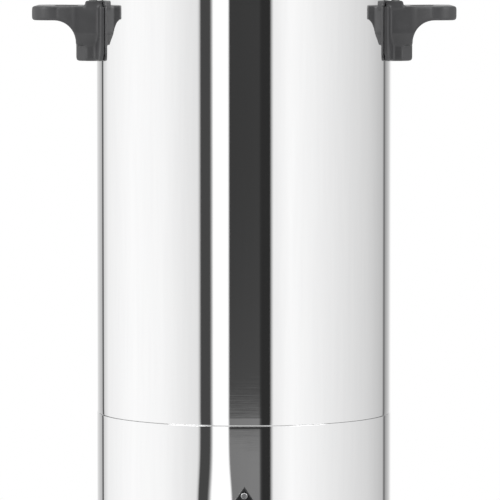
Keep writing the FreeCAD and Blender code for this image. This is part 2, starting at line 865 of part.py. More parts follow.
def make_heaters():
    """The brewing and warming heaters, their controls and the terminal block."""
    pins = heater_pin_places()
    coil_level = S.tank_floor - S.brew_heater_tube
    coil = ring(S.brew_heater_circle, S.brew_heater_tube, (0, 0, coil_level))
    gap = block(
        (S.brew_heater_circle / 2, -S.heater_pin_spacing / 2, WELL_FLOOR - 2 * CLEAR),
        (S.warm_heater_inner, S.heater_pin_spacing / 2, S.tank_floor + CLEAR))
    brew_pin_length = coil_level - S.heater_pin_foot
    brew_pins = [cylinder(S.heater_pin_radius, brew_pin_length, (across, along, S.heater_pin_foot))
                 for across, along in pins[:2]]
    keep("brew_heater", fuse(cut(coil, gap), *brew_pins))

    plate = tube(S.warm_heater_outer, S.warm_heater_inner, S.warm_heater_height, (0, 0, WARM_FOOT))
    room = cylinder(S.thermostat_radius + 1, S.rim_height, (-S.thermostat_circle, 0, 0))
    warm_pin_length = WARM_FOOT - S.heater_pin_foot + S.warm_heater_height / 4
    warm_pins = [cylinder(S.heater_pin_radius, warm_pin_length, (across, along, S.heater_pin_foot))
                 for across, along in pins[2:]]
    keep("warm_heater", fuse(cut(plate, room), *warm_pins))

    thermostat_foot = S.tank_floor - S.thermostat_height
    blades = [block((-S.thermostat_circle - S.blade_half_width, side * S.blade_place - S.blade_half_width / 3,
                     thermostat_foot - S.blade_length),
                    (-S.thermostat_circle + S.blade_half_width, side * S.blade_place + S.blade_half_width / 3,
                     thermostat_foot)) for side in (-1, 1)]
    keep("thermostat", fuse(
        cylinder(S.thermostat_radius, S.thermostat_height,
                 (-S.thermostat_circle, 0, thermostat_foot)),
        *blades))

    keep("thermal_cutout", centred_cutout())

    low = (-S.block_width / 2, S.block_place - S.block_depth / 2, PLATE_TOP)
    high = (S.block_width / 2, S.block_place + S.block_depth / 2, PLATE_TOP + S.block_height)
    well_foot = PLATE_TOP + S.block_height / 2
    wells = [cylinder(S.wire_radius * 1.4, S.block_height,
                      (S.block_width * share, S.block_place + side * S.block_well_place, well_foot))
             for share in WELL_SHARES for side in (-1, 1)]
    keep("terminal_block", cut(block(low, high), *wells))

    head_foot = S.plate_level - S.small_head_height
    earth = fuse(
        cylinder(S.handle_screw_radius, S.earth_length, (S.earth_place, 0, head_foot)),
        cylinder(S.small_head_radius, S.small_head_height, (S.earth_place, 0, head_foot)),
        hexagon(S.small_head_radius, S.small_head_height, (S.earth_place, 0, PLATE_TOP)))
    keep("earth_screw", earth)


def centred_cutout():
    """The thermal cut-out clipped under the clamp plate."""
    centre = -S.brew_heater_circle / 2 - S.cutout_inset
    return block((centre - S.cutout_length / 2, -S.cutout_width / 2, CLAMP_FOOT - S.cutout_height),
                 (centre + S.cutout_length / 2, S.cutout_width / 2, CLAMP_FOOT))


def shield_screw_heights():
    return (S.shield_tip - S.shield_screw_inset, S.shield_foot + S.shield_screw_inset)


def make_handle():
    """The handle on the +X side: a looped arm on a column, with a flange that hugs the shell."""
    arm_foot = S.handle_top - S.arm_thickness
    start = S.tank_radius
    profile = padded("XZ_Plane", [
        (start, S.handle_bottom), (S.column_face, S.handle_bottom), (S.column_face, arm_foot),
        (S.handle_reach, arm_foot), (S.handle_reach, S.handle_top), (start, S.handle_top)],
        4 * S.arm_half_width, midplane=True)

    def inner_corner(edge):
        box = edge.BoundBox
        return near(box.XMin, S.column_face) and near(box.XMax, S.column_face) \
            and near(box.ZMin, arm_foot) and near(box.ZMax, arm_foot)

    def outer_corners(edge):
        box = edge.BoundBox
        low_corner = near(box.XMin, S.column_face) and near(box.ZMin, S.handle_bottom)
        return box.XLength < 0.01 and box.ZLength < 0.01 and (near(box.XMin, S.handle_reach) or low_corner)

    rounded(profile, S.underarm_radius, inner_corner)
    rounded(profile, S.arm_corner, outer_corners)

    height = S.handle_top - S.handle_bottom
    waist_end = S.body_radius + S.waist_start
    full_start = waist_end + S.waist_length
    arm_plan = padded("XY_Plane", [
        (start, -S.waist_half_width), (waist_end, -S.waist_half_width), (full_start, -S.arm_half_width),
        (S.handle_reach, -S.arm_half_width), (S.handle_reach, S.arm_half_width),
        (full_start, S.arm_half_width), (waist_end, S.waist_half_width), (start, S.waist_half_width)],
        height, offset=S.handle_bottom)

    def on_both_sides(across, along):
        return lambda edge: any(upright_at(across, side * along)(edge) for side in (-1, 1))

    rounded(arm_plan, S.waist_round, on_both_sides(waist_end, S.waist_half_width))
    rounded(arm_plan, S.arm_plan_corner, on_both_sides(S.handle_reach, S.arm_half_width))
    gusset_outline = padded("YZ_Plane", [
        (-S.column_half_width, S.handle_bottom), (S.column_half_width, S.handle_bottom),
        (S.column_half_width, S.gusset_foot), (S.arm_half_width, S.gusset_top),
        (S.arm_half_width, S.handle_top), (-S.arm_half_width, S.handle_top),
        (-S.arm_half_width, S.gusset_top), (-S.column_half_width, S.gusset_foot)],
        S.handle_reach)
    column_side = S.column_face - S.column_chamfer
    column_plan = padded("XY_Plane", [
        (start, -S.column_half_width), (column_side, -S.column_half_width),
        (S.column_face, -S.column_half_width + S.column_chamfer),
        (S.column_face, S.column_half_width - S.column_chamfer),
        (column_side, S.column_half_width), (start, S.column_half_width)],
        S.gusset_foot - S.handle_bottom, offset=S.handle_bottom)
    upper_part = block((start, -2 * S.arm_half_width, S.gusset_foot),
                       (2 * S.handle_reach, 2 * S.arm_half_width, S.handle_top))
    looped = common(profile, arm_plan, gusset_outline)
    arm = common(looped, upper_part)
    column = common(looped, column_plan)
    gap_start = S.column_face
    finger_gap = padded("XY_Plane", [
        (gap_start, -S.finger_gap_half_length), (gap_start + S.finger_gap_width, -S.finger_gap_half_length),
        (gap_start + S.finger_gap_width, S.finger_gap_half_length), (gap_start, S.finger_gap_half_length)],
        height * 2, offset=S.handle_bottom - height / 2)
    rounded(finger_gap, S.finger_gap_width * 0.45, lambda edge: edge.BoundBox.ZLength > 1)

    hug = S.body_radius + S.handle_fit
    flange_plan = padded("YZ_Plane", [
        (-S.flange_half_width, S.handle_bottom), (S.flange_half_width, S.handle_bottom),
        (S.flange_half_width, S.handle_top), (-S.flange_half_width, S.handle_top)],
        S.handle_reach)

    def flange_corners(edge):
        box = edge.BoundBox
        return box.XLength > 1 and near(box.ZMin, S.handle_bottom) and near(box.ZMax, S.handle_bottom)

    rounded(flange_plan, S.flange_corner, flange_corners)
    flange = common(flange_plan, cylinder(hug + S.flange_wall, whole()))
    lugs = []
    for side in (-1, 1):
        near_edge = side * S.lug_inner
        far_edge = side * S.lug_outer
        lug = padded("XZ_Plane", [
            (start, S.handle_top - S.lug_sink), (S.lug_reach, S.handle_top - S.lug_sink),
            (S.lug_reach, S.handle_top + S.lug_height - S.lug_face),
            (S.lug_reach - S.lug_face, S.handle_top + S.lug_height),
            (start, S.handle_top + S.lug_height)],
            S.lug_outer - S.lug_inner, offset=-far_edge if side > 0 else -near_edge)
        lugs.append(lug)
    raw = cut(fuse(arm, column, flange, *lugs), cylinder(hug, whole()), finger_gap)
    screw_rooms = [
        cylinder(S.handle_screw_radius, S.handle_screw_depth + hug, (0, 0, level), "x")
        for level in (S.handle_screw_low, S.handle_screw_high)]
    return cut(raw, *screw_rooms)


def make_handles():
    """Both handles, and the plates and screws that hold them from inside the shell."""
    right = make_handle()
    keep("right_handle", right)
    keep("left_handle", mirrored(right))
    levels = (S.handle_screw_low, S.handle_screw_high)
    plate_outside = SHELL_INSIDE - S.handle_fit / 2
    plate_inside = plate_outside - S.backing_wall
    slab = block((S.tank_radius, -S.backing_half_width, S.handle_screw_low - S.backing_margin),
                 (S.body_radius, S.backing_half_width, S.handle_screw_high + S.backing_margin))
    holes = [cylinder(S.handle_screw_radius + S.handle_fit, S.body_radius, (0, 0, level), "x")
             for level in levels]
    plate = cut(common(slab, tube(plate_outside, plate_inside, whole())), *holes)
    keep("handle_backing_plates", group(plate, mirrored(plate)))
    head_start = plate_inside - S.screw_head_height - S.handle_fit
    screws = []
    for level in levels:
        screw = fuse(
            cylinder(S.handle_head_radius, S.screw_head_height, (head_start, 0, level), "x"),
            cylinder(S.handle_screw_radius, S.body_radius + S.handle_fit + S.handle_screw_depth - head_start,
                     (head_start, 0, level), "x"))
        screws += [screw, mirrored(screw)]
    keep("handle_screws", group(*screws))


def make_shield():
    """The pointed black plate on the shell behind the tap."""
    slope_drop = S.shield_half_width / S.shield_slope
    outline = padded("XZ_Plane", [
        (0, S.shield_tip), (-S.shield_half_width, S.shield_tip - slope_drop),
        (-S.shield_half_width, S.shield_foot + S.shield_half_width / 2),
        (-S.shield_half_width / 2, S.shield_foot), (S.shield_half_width / 2, S.shield_foot),
        (S.shield_half_width, S.shield_foot + S.shield_half_width / 2),
        (S.shield_half_width, S.shield_tip - slope_drop)],
        S.valve_place)
    seat = LOWER_RADIUS + S.shield_gap
    plate = common(outline, tube(SHIELD_FACE, seat, S.rim_height))

    def front_edges(edge):
        middle = edge.valueAt((edge.FirstParameter + edge.LastParameter) / 2)
        face = Dim.of(SHIELD_FACE).value
        return abs(math.hypot(middle.x, middle.y) - face) < 0.02

    bevelled = softened(plate, S.shield_bevel, front_edges, "Part::Chamfer")
    tap_room = front_bore(S.tap_shank_radius + S.tap_hole_gap, S.tap_height)
    rooms = [front_bore(S.handle_screw_radius + S.handle_fit, height) for height in shield_screw_heights()]
    keep("tap_shield", cut(bevelled, tap_room, *rooms))
    screws = []
    for height in shield_screw_heights():
        head = cylinder(S.shield_screw_head, S.shield_screw_head_height,
                        (0, -SHIELD_FACE - S.shield_screw_head_height, height), "y")
        shank = cylinder(S.handle_screw_radius, S.shield_wall + S.shield_screw_grip,
                         (0, -SHIELD_FACE, height), "y")
        screws.append(fuse(head, shank))
    keep("shield_screws", group(*screws))


def make_tap():
    """The tap: its body, its seals and nut, and the valve under the lever."""
    bore_length = S.valve_place - TANK_INSIDE + S.tap_shank_length
    shank = cylinder(S.tap_shank_radius, bore_length, (0, -S.valve_place, S.tap_height), "y")
    barrel = cut(
        cylinder(S.tap_barrel_radius, S.valve_place - S.tank_radius, (0, -S.valve_place, S.tap_height), "y"),
        cylinder(SHIELD_FACE + S.shield_gap, whole()))
    chamber = at_valve(S.chamber_radius, S.chamber_foot, S.chamber_top)
    neck = cone(S.spout_radius, S.chamber_radius, S.spout_neck,
                (0, -S.valve_place, S.chamber_foot - S.spout_neck))
    spout = at_valve(S.spout_radius, S.spout_end, S.chamber_foot)
    bore_height = S.tap_height + S.tap_bore_rise
    across_bore = cylinder(S.tap_bore_radius, bore_length, (0, -S.valve_place, bore_height), "y")
    chamber_room = at_valve(S.chamber_bore, S.seat_height, S.chamber_top)
    spout_room = at_valve(S.spout_bore, S.spout_end, S.seat_height)
    keep("tap_body", cut(fuse(shank, barrel, chamber, neck, spout), across_bore, chamber_room, spout_room))

    hole = front_bore(S.tap_shank_radius + S.handle_fit, S.tap_height)
    washer = cylinder(S.washer_radius, S.body_radius, (0, -S.body_radius, S.tap_height), "y")
    keep("tap_spacer", cut(common(washer, tube(LOWER_INSIDE, S.tank_radius, whole())), hole))
    nut_start = -TANK_INSIDE + S.washer_wall
    inner_washer = cylinder(S.washer_radius, S.body_radius, (0, nut_start - S.body_radius, S.tap_height), "y")
    keep("tap_washer", cut(common(inner_washer, cylinder(TANK_INSIDE, whole())), hole))
    keep("tap_lock_nut", cut(
        hexagon(S.lock_nut_radius, S.lock_nut_height, (0, nut_start, S.tap_height), "y"), hole))

    pivot = S.lever_pivot_height
    bonnet_top = S.chamber_top + S.bonnet_height
    cap = at_valve(S.bonnet_radius, S.chamber_top, bonnet_top)
    plug = at_valve(S.chamber_bore - S.handle_fit, S.chamber_top - S.bonnet_plug, S.chamber_top)
    ear_low = S.lever_width / 2 + S.lever_gap
    ears = []
    for low_x in (ear_low, -ear_low - S.ear_wall):
        ears.append(block((low_x, PIVOT_PLACE - S.ear_reach, S.chamber_top + S.bonnet_height / 2),
                          (low_x + S.ear_wall, PIVOT_PLACE + S.ear_reach, pivot)))
        ears.append(cylinder(S.ear_reach, S.ear_wall, (low_x, PIVOT_PLACE, pivot), "x"))
    stem_hole = at_valve(S.stem_radius + S.stem_gap, S.seat_height, S.stem_top)
    pin_hole = cylinder(S.lever_pin_radius, 2 * S.valve_place, (-S.valve_place, PIVOT_PLACE, pivot), "x")
    keep("tap_bonnet", cut(fuse(cap, plug, *ears), stem_hole, pin_hole))
    pin_half = ear_low + S.ear_wall
    keep("lever_pin", cylinder(S.lever_pin_radius, 2 * pin_half, (-pin_half, PIVOT_PLACE, pivot), "x"))

    rod_foot = S.seat_height + S.seal_height
    keep("valve_seal", at_valve(S.seal_radius, S.seat_height, rod_foot))
    rod = at_valve(S.stem_radius, rod_foot, S.stem_top)
    flat_foot = bonnet_top + S.stem_round_length
    flats = [block((low_x, -S.valve_place - CLEAR, flat_foot),
                   (low_x + S.stem_radius * 2, -S.valve_place + CLEAR, S.stem_top + CLEAR))
             for low_x in (S.stem_flat / 2, -S.stem_flat / 2 - S.stem_radius * 2)]
    pin_room = cylinder(S.stem_pin_radius, 2 * S.valve_place, (-S.valve_place, -S.valve_place, pivot), "x")
    keep("valve_stem", cut(rod, *flats, pin_room))
    stem_pin_half = S.lever_width / 2 - S.tap_hole_gap
    keep("stem_pin", cylinder(S.stem_pin_radius, 2 * stem_pin_half,
                              (-stem_pin_half, -S.valve_place, pivot), "x"))
    make_lever()
    make_spring(rod_foot, S.chamber_top - S.bonnet_plug)


def make_lever():
    """The lever: a neck over the pivot and the stem, and a broad paddle for the thumb."""
    height = S.lever_pivot_height
    front = PIVOT_PLACE
    back = -S.valve_place + S.lever_heel
    neck_end = front - S.neck_length
    neck_height = height + S.neck_rise
    neck = padded("YZ_Plane", [
        (back, height - S.heel_half_height), (back, height + S.heel_half_height),
        (front, height + S.hub_half_height), (neck_end, neck_height + S.neck_half_height),
        (neck_end, neck_height - S.neck_half_height), (front, height - S.hub_half_height)],
        S.lever_width, midplane=True)
    tip = front - S.lever_reach
    root = front - S.paddle_root
    tip_height = height + S.paddle_rise
    paddle = padded("YZ_Plane", [
        (root, neck_height - S.paddle_half_wall), (root, neck_height + S.paddle_half_wall),
        (tip, tip_height + S.paddle_half_wall), (tip, tip_height - S.paddle_half_wall)],
        S.paddle_width, midplane=True)
    rounded(paddle, S.paddle_edge, lambda edge: edge.BoundBox.XLength > 1)
    shoulder = front - S.paddle_shoulder
    paddle_plan = padded("XY_Plane", [
        (-S.paddle_width / 2, tip), (S.paddle_width / 2, tip), (S.paddle_width / 2, shoulder),
        (S.lever_width / 2, root), (-S.lever_width / 2, root), (-S.paddle_width / 2, shoulder)],
        S.rim_height)
    rounded(paddle_plan, S.paddle_corner,
            lambda edge: edge.BoundBox.ZLength > 1 and near(edge.BoundBox.YMin, tip))
    hub_hole = cylinder(S.lever_pin_radius + S.stem_gap, S.valve_place,
                        (-S.valve_place / 2, front, height), "x")
    stem_slot = centred_block(
        S.stem_flat / 2 + S.stem_slot_gap, -S.valve_place - S.stem_slot_reach, -S.valve_place + CLEAR,
        height - 2 * CLEAR, height + 2 * CLEAR)
    pin_room = S.stem_pin_radius + S.stem_pin_gap
    pin_slot = centred_block(
        S.lever_width, -S.valve_place - S.stem_pin_slot, -S.valve_place + S.stem_pin_slot,
        height - pin_room, height + pin_room)
    keep("tap_lever", cut(fuse(neck, common(paddle, paddle_plan)), hub_hole, stem_slot, pin_slot))


def make_spring(foot, top):
    """The return spring: half-turn arcs that climb steadily, swept as one tube."""
    turns = 4
    radius = S.spring_radius.value
    wire = S.spring_wire.value
    low = foot.value + wire
    climb = top.value - wire - low
    gap = climb / turns - 2 * wire
    print(f"tap spring: least gap between turns {gap:.2f} mm")

    def point(turn):
        angle = turn * 2 * math.pi
        return VECTOR(radius * math.cos(angle), radius * math.sin(angle) - S.valve_place.value,
                      low + climb * turn / turns)

    arcs = [Part.Arc(point(half / 2), point(half / 2 + 0.25), point(half / 2 + 0.5)).toShape()
            for half in range(2 * turns)]
    path = Part.Wire(arcs)
    section = Part.Wire([Part.Circle(point(0), VECTOR(0, 1, 0), wire).toShape()])
    item = doc.addObject("Part::Feature", "Spring")
    item.Shape = path.makePipeShell([section], True, False)
    length = 2 * math.pi * radius * turns
    tube_volume = math.pi * wire ** 2 * length
    print(f"tap spring: volume {item.Shape.Volume:.1f}, section times length {tube_volume:.1f}")
    keep("tap_spring", item)


def make_percolator():
    """The pump's stem, and the basket and its cover that stand on it."""
    foot = WELL_FLOOR + S.tank_wall
    tube_inside = S.pump_tube_radius - S.pump_tube_wall
    shoulder = foot + S.pump_foot_height
    foot_inside = S.pump_foot_radius - S.pump_tube_wall
    stem = revolved([
        (foot_inside, foot), (S.pump_foot_radius, foot), (S.pump_foot_radius, foot + S.pump_rim_height),
        (S.pump_tube_radius, shoulder), (S.pump_tube_radius, S.basket_floor - S.collar_height),
        (S.collar_radius, S.basket_floor - S.collar_height), (S.collar_radius, S.basket_floor),
        (S.pump_tube_radius, S.basket_floor), (S.pump_tube_radius, S.pump_top), (tube_inside, S.pump_top),
        (tube_inside, shoulder - S.pump_tube_wall),
        (foot_inside, foot + S.pump_rim_height - S.pump_tube_wall)])
    notch = cylinder(S.pump_notch, S.well_radius, (0, 0, foot), "x")
    keep("pump_stem", cut(stem, *[turned(notch, 60 * number) for number in range(6)]))

    hub_inside = S.pump_tube_radius + S.basket_hub_gap
    hub_outside = hub_inside + S.basket_hub_wall
    floor_top = S.basket_floor + S.basket_wall
    top = S.basket_floor + S.basket_height
    hub_top = top - S.basket_hub_drop
    inside = S.basket_radius - S.basket_wall
    basket = revolved([
        (hub_inside, S.basket_floor), (S.basket_radius, S.basket_floor), (S.basket_radius, top),
        (inside, top), (inside, floor_top), (hub_outside, floor_top),
        (hub_outside, hub_top), (hub_inside, hub_top)])
    keep("coffee_basket", cut(basket, *ringed_holes(BASKET_HOLES, S.hole_radius, S.basket_floor - 1)))

    wall = S.cover_wall
    edge = inside - S.cover_edge
    cover = revolved([
        (hub_inside, top), (inside - 2 * wall, top), (inside - 2 * wall, top - S.cover_lip),
        (inside - wall, top - S.cover_lip), (inside - wall, top), (S.basket_radius, top),
        (S.basket_radius, top + wall), (edge, top + wall), (edge - S.cover_slope, top + S.cover_rise),
        (S.basket_radius / 4, top + S.cover_dish), (hub_inside, top + S.cover_dish)])
    keep("basket_cover", cut(cover, *ringed_holes(COVER_HOLES, S.hole_radius * 0.75, top - 1)))


def ringed_holes(rings, radius, foot):
    """Rings of upright holes."""
    return [turned(cylinder(radius, 3 * S.cover_rise, (S.basket_radius * share, 0, foot)),
                   360 / count * number)
            for count, share in rings for number in range(count)]


def make_lid():
    """The domed lid, its knob and the screw that holds the knob."""
    skirt_outside = TANK_INSIDE - S.lid_skirt_gap
    skirt_inside = skirt_outside - S.lid_wall
    skirt_foot = S.rim_height - S.lid_skirt
    top = S.rim_height + S.lid_rise
    step = S.rim_height + S.lid_shoulder
    lid = revolved([
        (0, top - S.lid_wall), (skirt_inside, step - S.lid_wall), (skirt_inside, skirt_foot),
        (skirt_outside, skirt_foot), (skirt_outside, S.rim_height), (S.lid_radius, S.rim_height),
        (S.lid_radius, S.rim_height + S.lid_wall), (skirt_outside + S.lid_step, S.rim_height + S.lid_wall),
        (skirt_outside, step), (0, top)], domes=(0, 8))
    steam = [turned(cylinder(S.steam_hole_radius, S.rim_height, (S.steam_hole_circle, 0, S.rim_height)),
                    45 + 90 * number) for number in range(4)]
    screw_room = cylinder(S.knob_screw_radius + S.handle_fit, S.rim_height, (0, 0, S.rim_height))
    keep("lid", cut(lid, *steam, screw_room))

    neck_top = top + S.knob_neck_height
    knob_top = neck_top + S.knob_head_height
    knob = revolved([
        (0, top), (S.knob_neck_radius + S.knob_foot_step, top),
        (S.knob_neck_radius, top + S.knob_foot_height),
        (S.knob_neck_radius, neck_top), (S.knob_radius, neck_top + S.knob_undercut),
        (S.knob_radius, knob_top), (0, knob_top)],
        rounds=[(S.knob_round, [5]), (S.knob_edge, [4])])
    grip = S.knob_neck_height + S.knob_screw_grip
    keep("lid_knob", cut(knob, cylinder(S.knob_screw_radius, grip, (0, 0, top))))
    sag = S.handle_fit
    shank_foot = top - S.lid_wall - sag
    head_foot = top - S.lid_wall - S.knob_screw_head_height
    keep("knob_screw", fuse(
        cylinder(S.knob_screw_head, S.knob_screw_head_height - sag, (0, 0, head_foot)),
        cylinder(S.knob_screw_radius, grip + S.lid_wall + sag, (0, 0, shank_foot))))


def inlet_block():
    """The room that the inlet's own body takes in the base."""
    return centred_block(S.inlet_half_width, S.inlet_boss_face - S.inlet_depth - 1, S.inlet_boss_face + 1,
                         S.inlet_height - S.inlet_half_height, S.inlet_height + S.inlet_half_height)


def make_inlet():
    """The appliance inlet at the rear, with its pins and screws."""
    boss_face = S.inlet_boss_face
    face = boss_face + S.inlet_flange_wall
    back = boss_face - S.inlet_depth
    half_width = S.inlet_half_width - S.handle_fit
    half_height = S.inlet_half_height - S.handle_fit
    body = centred_block(half_width, back, boss_face,
                         S.inlet_height - half_height, S.inlet_height + half_height)
    flange = centred_block(S.inlet_flange_half_width, boss_face, face,
                           S.inlet_height - S.inlet_flange_half_height,
                           S.inlet_height + S.inlet_flange_half_height)
    cavity_half = S.inlet_half_height - S.inlet_cavity_wall
    cavity = centred_block(S.inlet_half_width - S.inlet_cavity_wall,
                           face - S.inlet_cavity_depth, face + CLEAR,
                           S.inlet_height - cavity_half, S.inlet_height + cavity_half)
    screw_places = [side * S.inlet_screw_half_pitch for side in (-1, 1)]
    screw_holes = [cylinder(S.inlet_screw_radius, S.inlet_flange_wall * 2,
                            (across, boss_face - 1, S.inlet_height), "y")
                   for across in screw_places]
    pin_places = [(-S.pin_pitch, -S.pin_rise), (Dim.of(0), S.pin_rise), (S.pin_pitch, -S.pin_rise)]
    pin_rooms = [centred_pin(across, rise, back - CLEAR, S.inlet_depth) for across, rise in pin_places]
    keep("power_inlet", cut(fuse(body, flange), cavity, *screw_holes, *pin_rooms))
    pin_foot = back - S.pin_tail
    pin_length = face - S.pin_setback - pin_foot
    pins = [centred_pin(across, rise, pin_foot, pin_length) for across, rise in pin_places]
    keep("inlet_pins", group(*pins))
    grip = S.inlet_flange_wall + S.inlet_screw_grip
    screws = [
        fuse(cylinder(S.inlet_screw_head, S.inlet_screw_head_height, (across, face, S.inlet_height), "y"),
             cylinder(S.inlet_screw_radius, grip, (across, face - grip, S.inlet_height), "y"))
        for across in screw_places]
    keep("inlet_screws", group(*screws))


def centred_pin(across, rise, start, length):
    height = S.inlet_height + rise
    return block((across - S.pin_half_width, start, height - S.pin_half_wall),
                 (across + S.pin_half_width, start + length, height + S.pin_half_wall))


def switch_block():
    """The room that the switch takes in the base, at the front before it is turned."""
    return centred_block(S.switch_half_width, -S.base_radius - CLEAR, -S.base_radius + S.switch_depth + 1,
                         S.panel_height - S.switch_half_height, S.panel_height + S.switch_half_height)


def make_switch():
    """The rocker switch: its housing, the rocker on two stub axles, and its terminals."""
    front = -S.base_radius - S.bezel_reach
    axle_place = front + S.axle_depth
    middle = S.panel_height
    half_height = S.switch_half_height - S.handle_fit
    body = centred_block(S.switch_half_width - S.handle_fit,
                         front + S.bezel_wall, -S.base_radius + S.switch_depth,
                         middle - half_height, middle + half_height)
    bezel_half = S.switch_half_height + S.bezel_margin
    bezel = cut(centred_block(S.switch_half_width + S.bezel_margin, front, -S.base_radius + S.base_round,
                              middle - bezel_half, middle + bezel_half),
                cylinder(S.base_radius + S.shield_gap, S.rim_height))
    pocket_half = S.rocker_half_height + S.rocker_gap
    pocket = centred_block(S.rocker_half_width + S.rocker_gap, front - 1, front + S.pocket_depth,
                           middle - pocket_half, middle + pocket_half)
    stub_half = S.rocker_half_width + S.axle_stub
    axle_room_half = stub_half + S.axle_gap
    axle_room = cylinder(S.axle_radius + S.axle_gap, 2 * axle_room_half,
                         (-axle_room_half, axle_place, middle), "x")
    keep("switch_housing", turned(cut(fuse(body, bezel), pocket, axle_room), S.switch_turn))

    tilt = S.rocker_half_height * math.tan(math.radians(S.rocker_tilt.value))
    end = S.rocker_half_height - S.rocker_face
    paddle = padded("YZ_Plane", [
        (axle_place + S.rocker_heel, middle - S.rocker_heel_half),
        (axle_place + S.rocker_heel, middle + S.rocker_heel_half),
        (front + S.rocker_face, middle + end), (front - S.rocker_face - tilt, middle + end),
        (front - S.rocker_face / 2, middle), (front - S.rocker_face + tilt / 3, middle - end),
        (front + S.rocker_heel, middle - end)],
        2 * S.rocker_half_width, midplane=True)
    axle = cylinder(S.axle_radius, 2 * stub_half, (-stub_half, axle_place, middle), "x")
    keep("switch_rocker", turned(fuse(paddle, axle), S.switch_turn))
    tab_foot = -S.base_radius + S.switch_depth
    tabs = [centred_block(S.tab_half_width, tab_foot, tab_foot + S.tab_length,
                          middle + rise - S.tab_half_wall, middle + rise + S.tab_half_wall)
            for rise in (-S.tab_low, S.tab_high)]
    keep("switch_terminals", group(*[turned(tab, S.switch_turn) for tab in tabs]))


def make_lamps():
    """The two pilot lamps: a domed lens in a round holder each."""
    front = -S.base_radius - S.lamp_reach
    lens = common(cylinder(S.lamp_radius, S.lamp_depth / 2, (0, front, S.panel_height), "y"),
                  ball(S.lamp_radius * 2, (0, front + S.lamp_radius * 2, S.panel_height)))
    holder = cut(
        cylinder(S.lamp_holder_radius - S.handle_fit, S.lamp_depth,
                 (0, front + S.lamp_rim, S.panel_height), "y"),
        cylinder(S.lamp_radius, S.lamp_depth / 2, (0, front, S.panel_height), "y"))
    turns = [S.lamp_turn, S.lamp_turn + S.lamp_step]
    keep("power_lamp_lens", turned(lens, turns[0]))
    keep("ready_lamp_lens", turned(lens, turns[1]))
    keep("lamp_holders", group(*[turned(holder, turn) for turn in turns]))


def wire_along(points):
    """A wire's tube on straight runs joined by arcs that touch them."""
    places = [VECTOR(*place) for place in points]
    edges = []
    last = places[0]
    for before, corner, after in zip(places, places[1:], places[2:]):
        back = (before - corner).normalize()
        ahead = (after - corner).normalize()
        half_turn = (math.pi - back.getAngle(ahead)) / 2
        reach = 0.45 * min((before - corner).Length, (after - corner).Length)
        start = corner + back * reach
        end = corner + ahead * reach
        bisector = (back + ahead).normalize()
        radius = reach / math.tan(half_turn)
        middle = corner + bisector * (radius / math.cos(half_turn) - radius)
        edges.append(Part.LineSegment(last, start).toShape())
        edges.append(Part.Arc(start, middle, end).toShape())
        last = end
    edges.append(Part.LineSegment(last, places[-1]).toShape())
    path = Part.Wire(edges)
    section = Part.Wire([Part.Circle(places[0], places[1] - places[0], S.wire_radius.value).toShape()])
    return path.makePipeShell([section], True, False)


def make_wires():
    """The wires between the inlet, the terminal block, the switch, the lamps and the heaters."""
    wire = S.wire_radius.value
    block_back = (S.block_place + S.block_depth / 2).value
    block_front = (S.block_place - S.block_depth / 2).value
    level = (PLATE_TOP + S.block_height / 2).value
    inlet_back = (S.inlet_boss_face - S.inlet_depth - S.pin_tail).value
    between = inlet_back - block_back
    past_inlet = inlet_back - 0.45 * between
    past_block = block_back + 0.4 * between
    slots = [(S.block_width * share).value for share in WELL_SHARES]
    pin_level = S.heater_pin_foot.value
    brew = S.brew_heater_circle.value
    half = S.heater_pin_spacing.value
    warm = S.warm_pin_circle.value

    def turned_place(radius, turn, height):
        angle = math.radians(turn)
        return (radius * math.sin(angle), -radius * math.cos(angle), height)

    panel = S.panel_height.value
    switch_back = (S.base_radius - S.switch_depth - S.tab_length).value
    lamp_back = (S.base_radius + S.lamp_reach - S.lamp_rim - S.lamp_depth).value
    switch_turn = S.switch_turn.value
    lamp_turn = S.lamp_turn.value
    pitch = S.pin_pitch.value
    pin_height = (S.inlet_height - S.pin_rise).value
    high = (S.panel_height + S.tab_high).value
    low = (S.panel_height - S.tab_low).value
    routes = [
        [(-pitch, inlet_back, pin_height), (-pitch, past_inlet, pin_height), (slots[0], past_block, level),
         (slots[0], block_back, level)],
        [(pitch, inlet_back, pin_height), (pitch, past_inlet, pin_height), (slots[3], past_block, level),
         (slots[3], block_back, level)],
        [(slots[0], block_front, level), (slots[0], block_front - 14, level), (-6, 0, 16), (10, -50, 18),
         turned_place(switch_back - 12, switch_turn, high), turned_place(switch_back, switch_turn, high)],
        [(slots[3], block_front, level), (slots[3], block_front - 10, level), (brew - 4, half + 12, 24),
         (brew, half, pin_level - 10), (brew, half, pin_level)],
        [(slots[2], block_front, level), (slots[2], block_front - 12, level), (brew - 8, 8, 26),
         (brew, -half, pin_level - 10), (brew, -half, pin_level)],
        [(warm, -half, pin_level), (warm, -half, pin_level - 9), (warm - 6, -half - 14, 24), (60, -56, 18),
         turned_place(switch_back - 12, switch_turn, low), turned_place(switch_back, switch_turn, low)],
        [(slots[1], block_front, level), (slots[1], block_front - 14, level), (-28, -20, 16),
         turned_place(lamp_back - 16, lamp_turn, panel), turned_place(lamp_back, lamp_turn, panel)],
    ]
    item = doc.addObject("Part::Feature", "Wires")
    item.Shape = Part.makeCompound([wire_along(route) for route in routes])
    keep("internal_wires", item)


def check_and_write():
    """Stops on any failed object, then writes each sub-part to its own file."""
    doc.recompute()
    for item in doc.Objects:
        faults = [state for state in item.State if state in ("Invalid", "Error")]
        if faults:
            raise RuntimeError(f"{item.Name} ({item.Label}) is {faults}")
    for name, item in subparts.items():
        if item.Shape.isNull() or not item.Shape.isValid() or not item.Shape.Solids:
            raise RuntimeError(f"{name} has no sound shape")
    os.makedirs("parts", exist_ok=True)
    for name, item in subparts.items():
        item.Shape.exportStep(f"parts/{name}.step")
    print(f"{len(subparts)} sub-parts written")


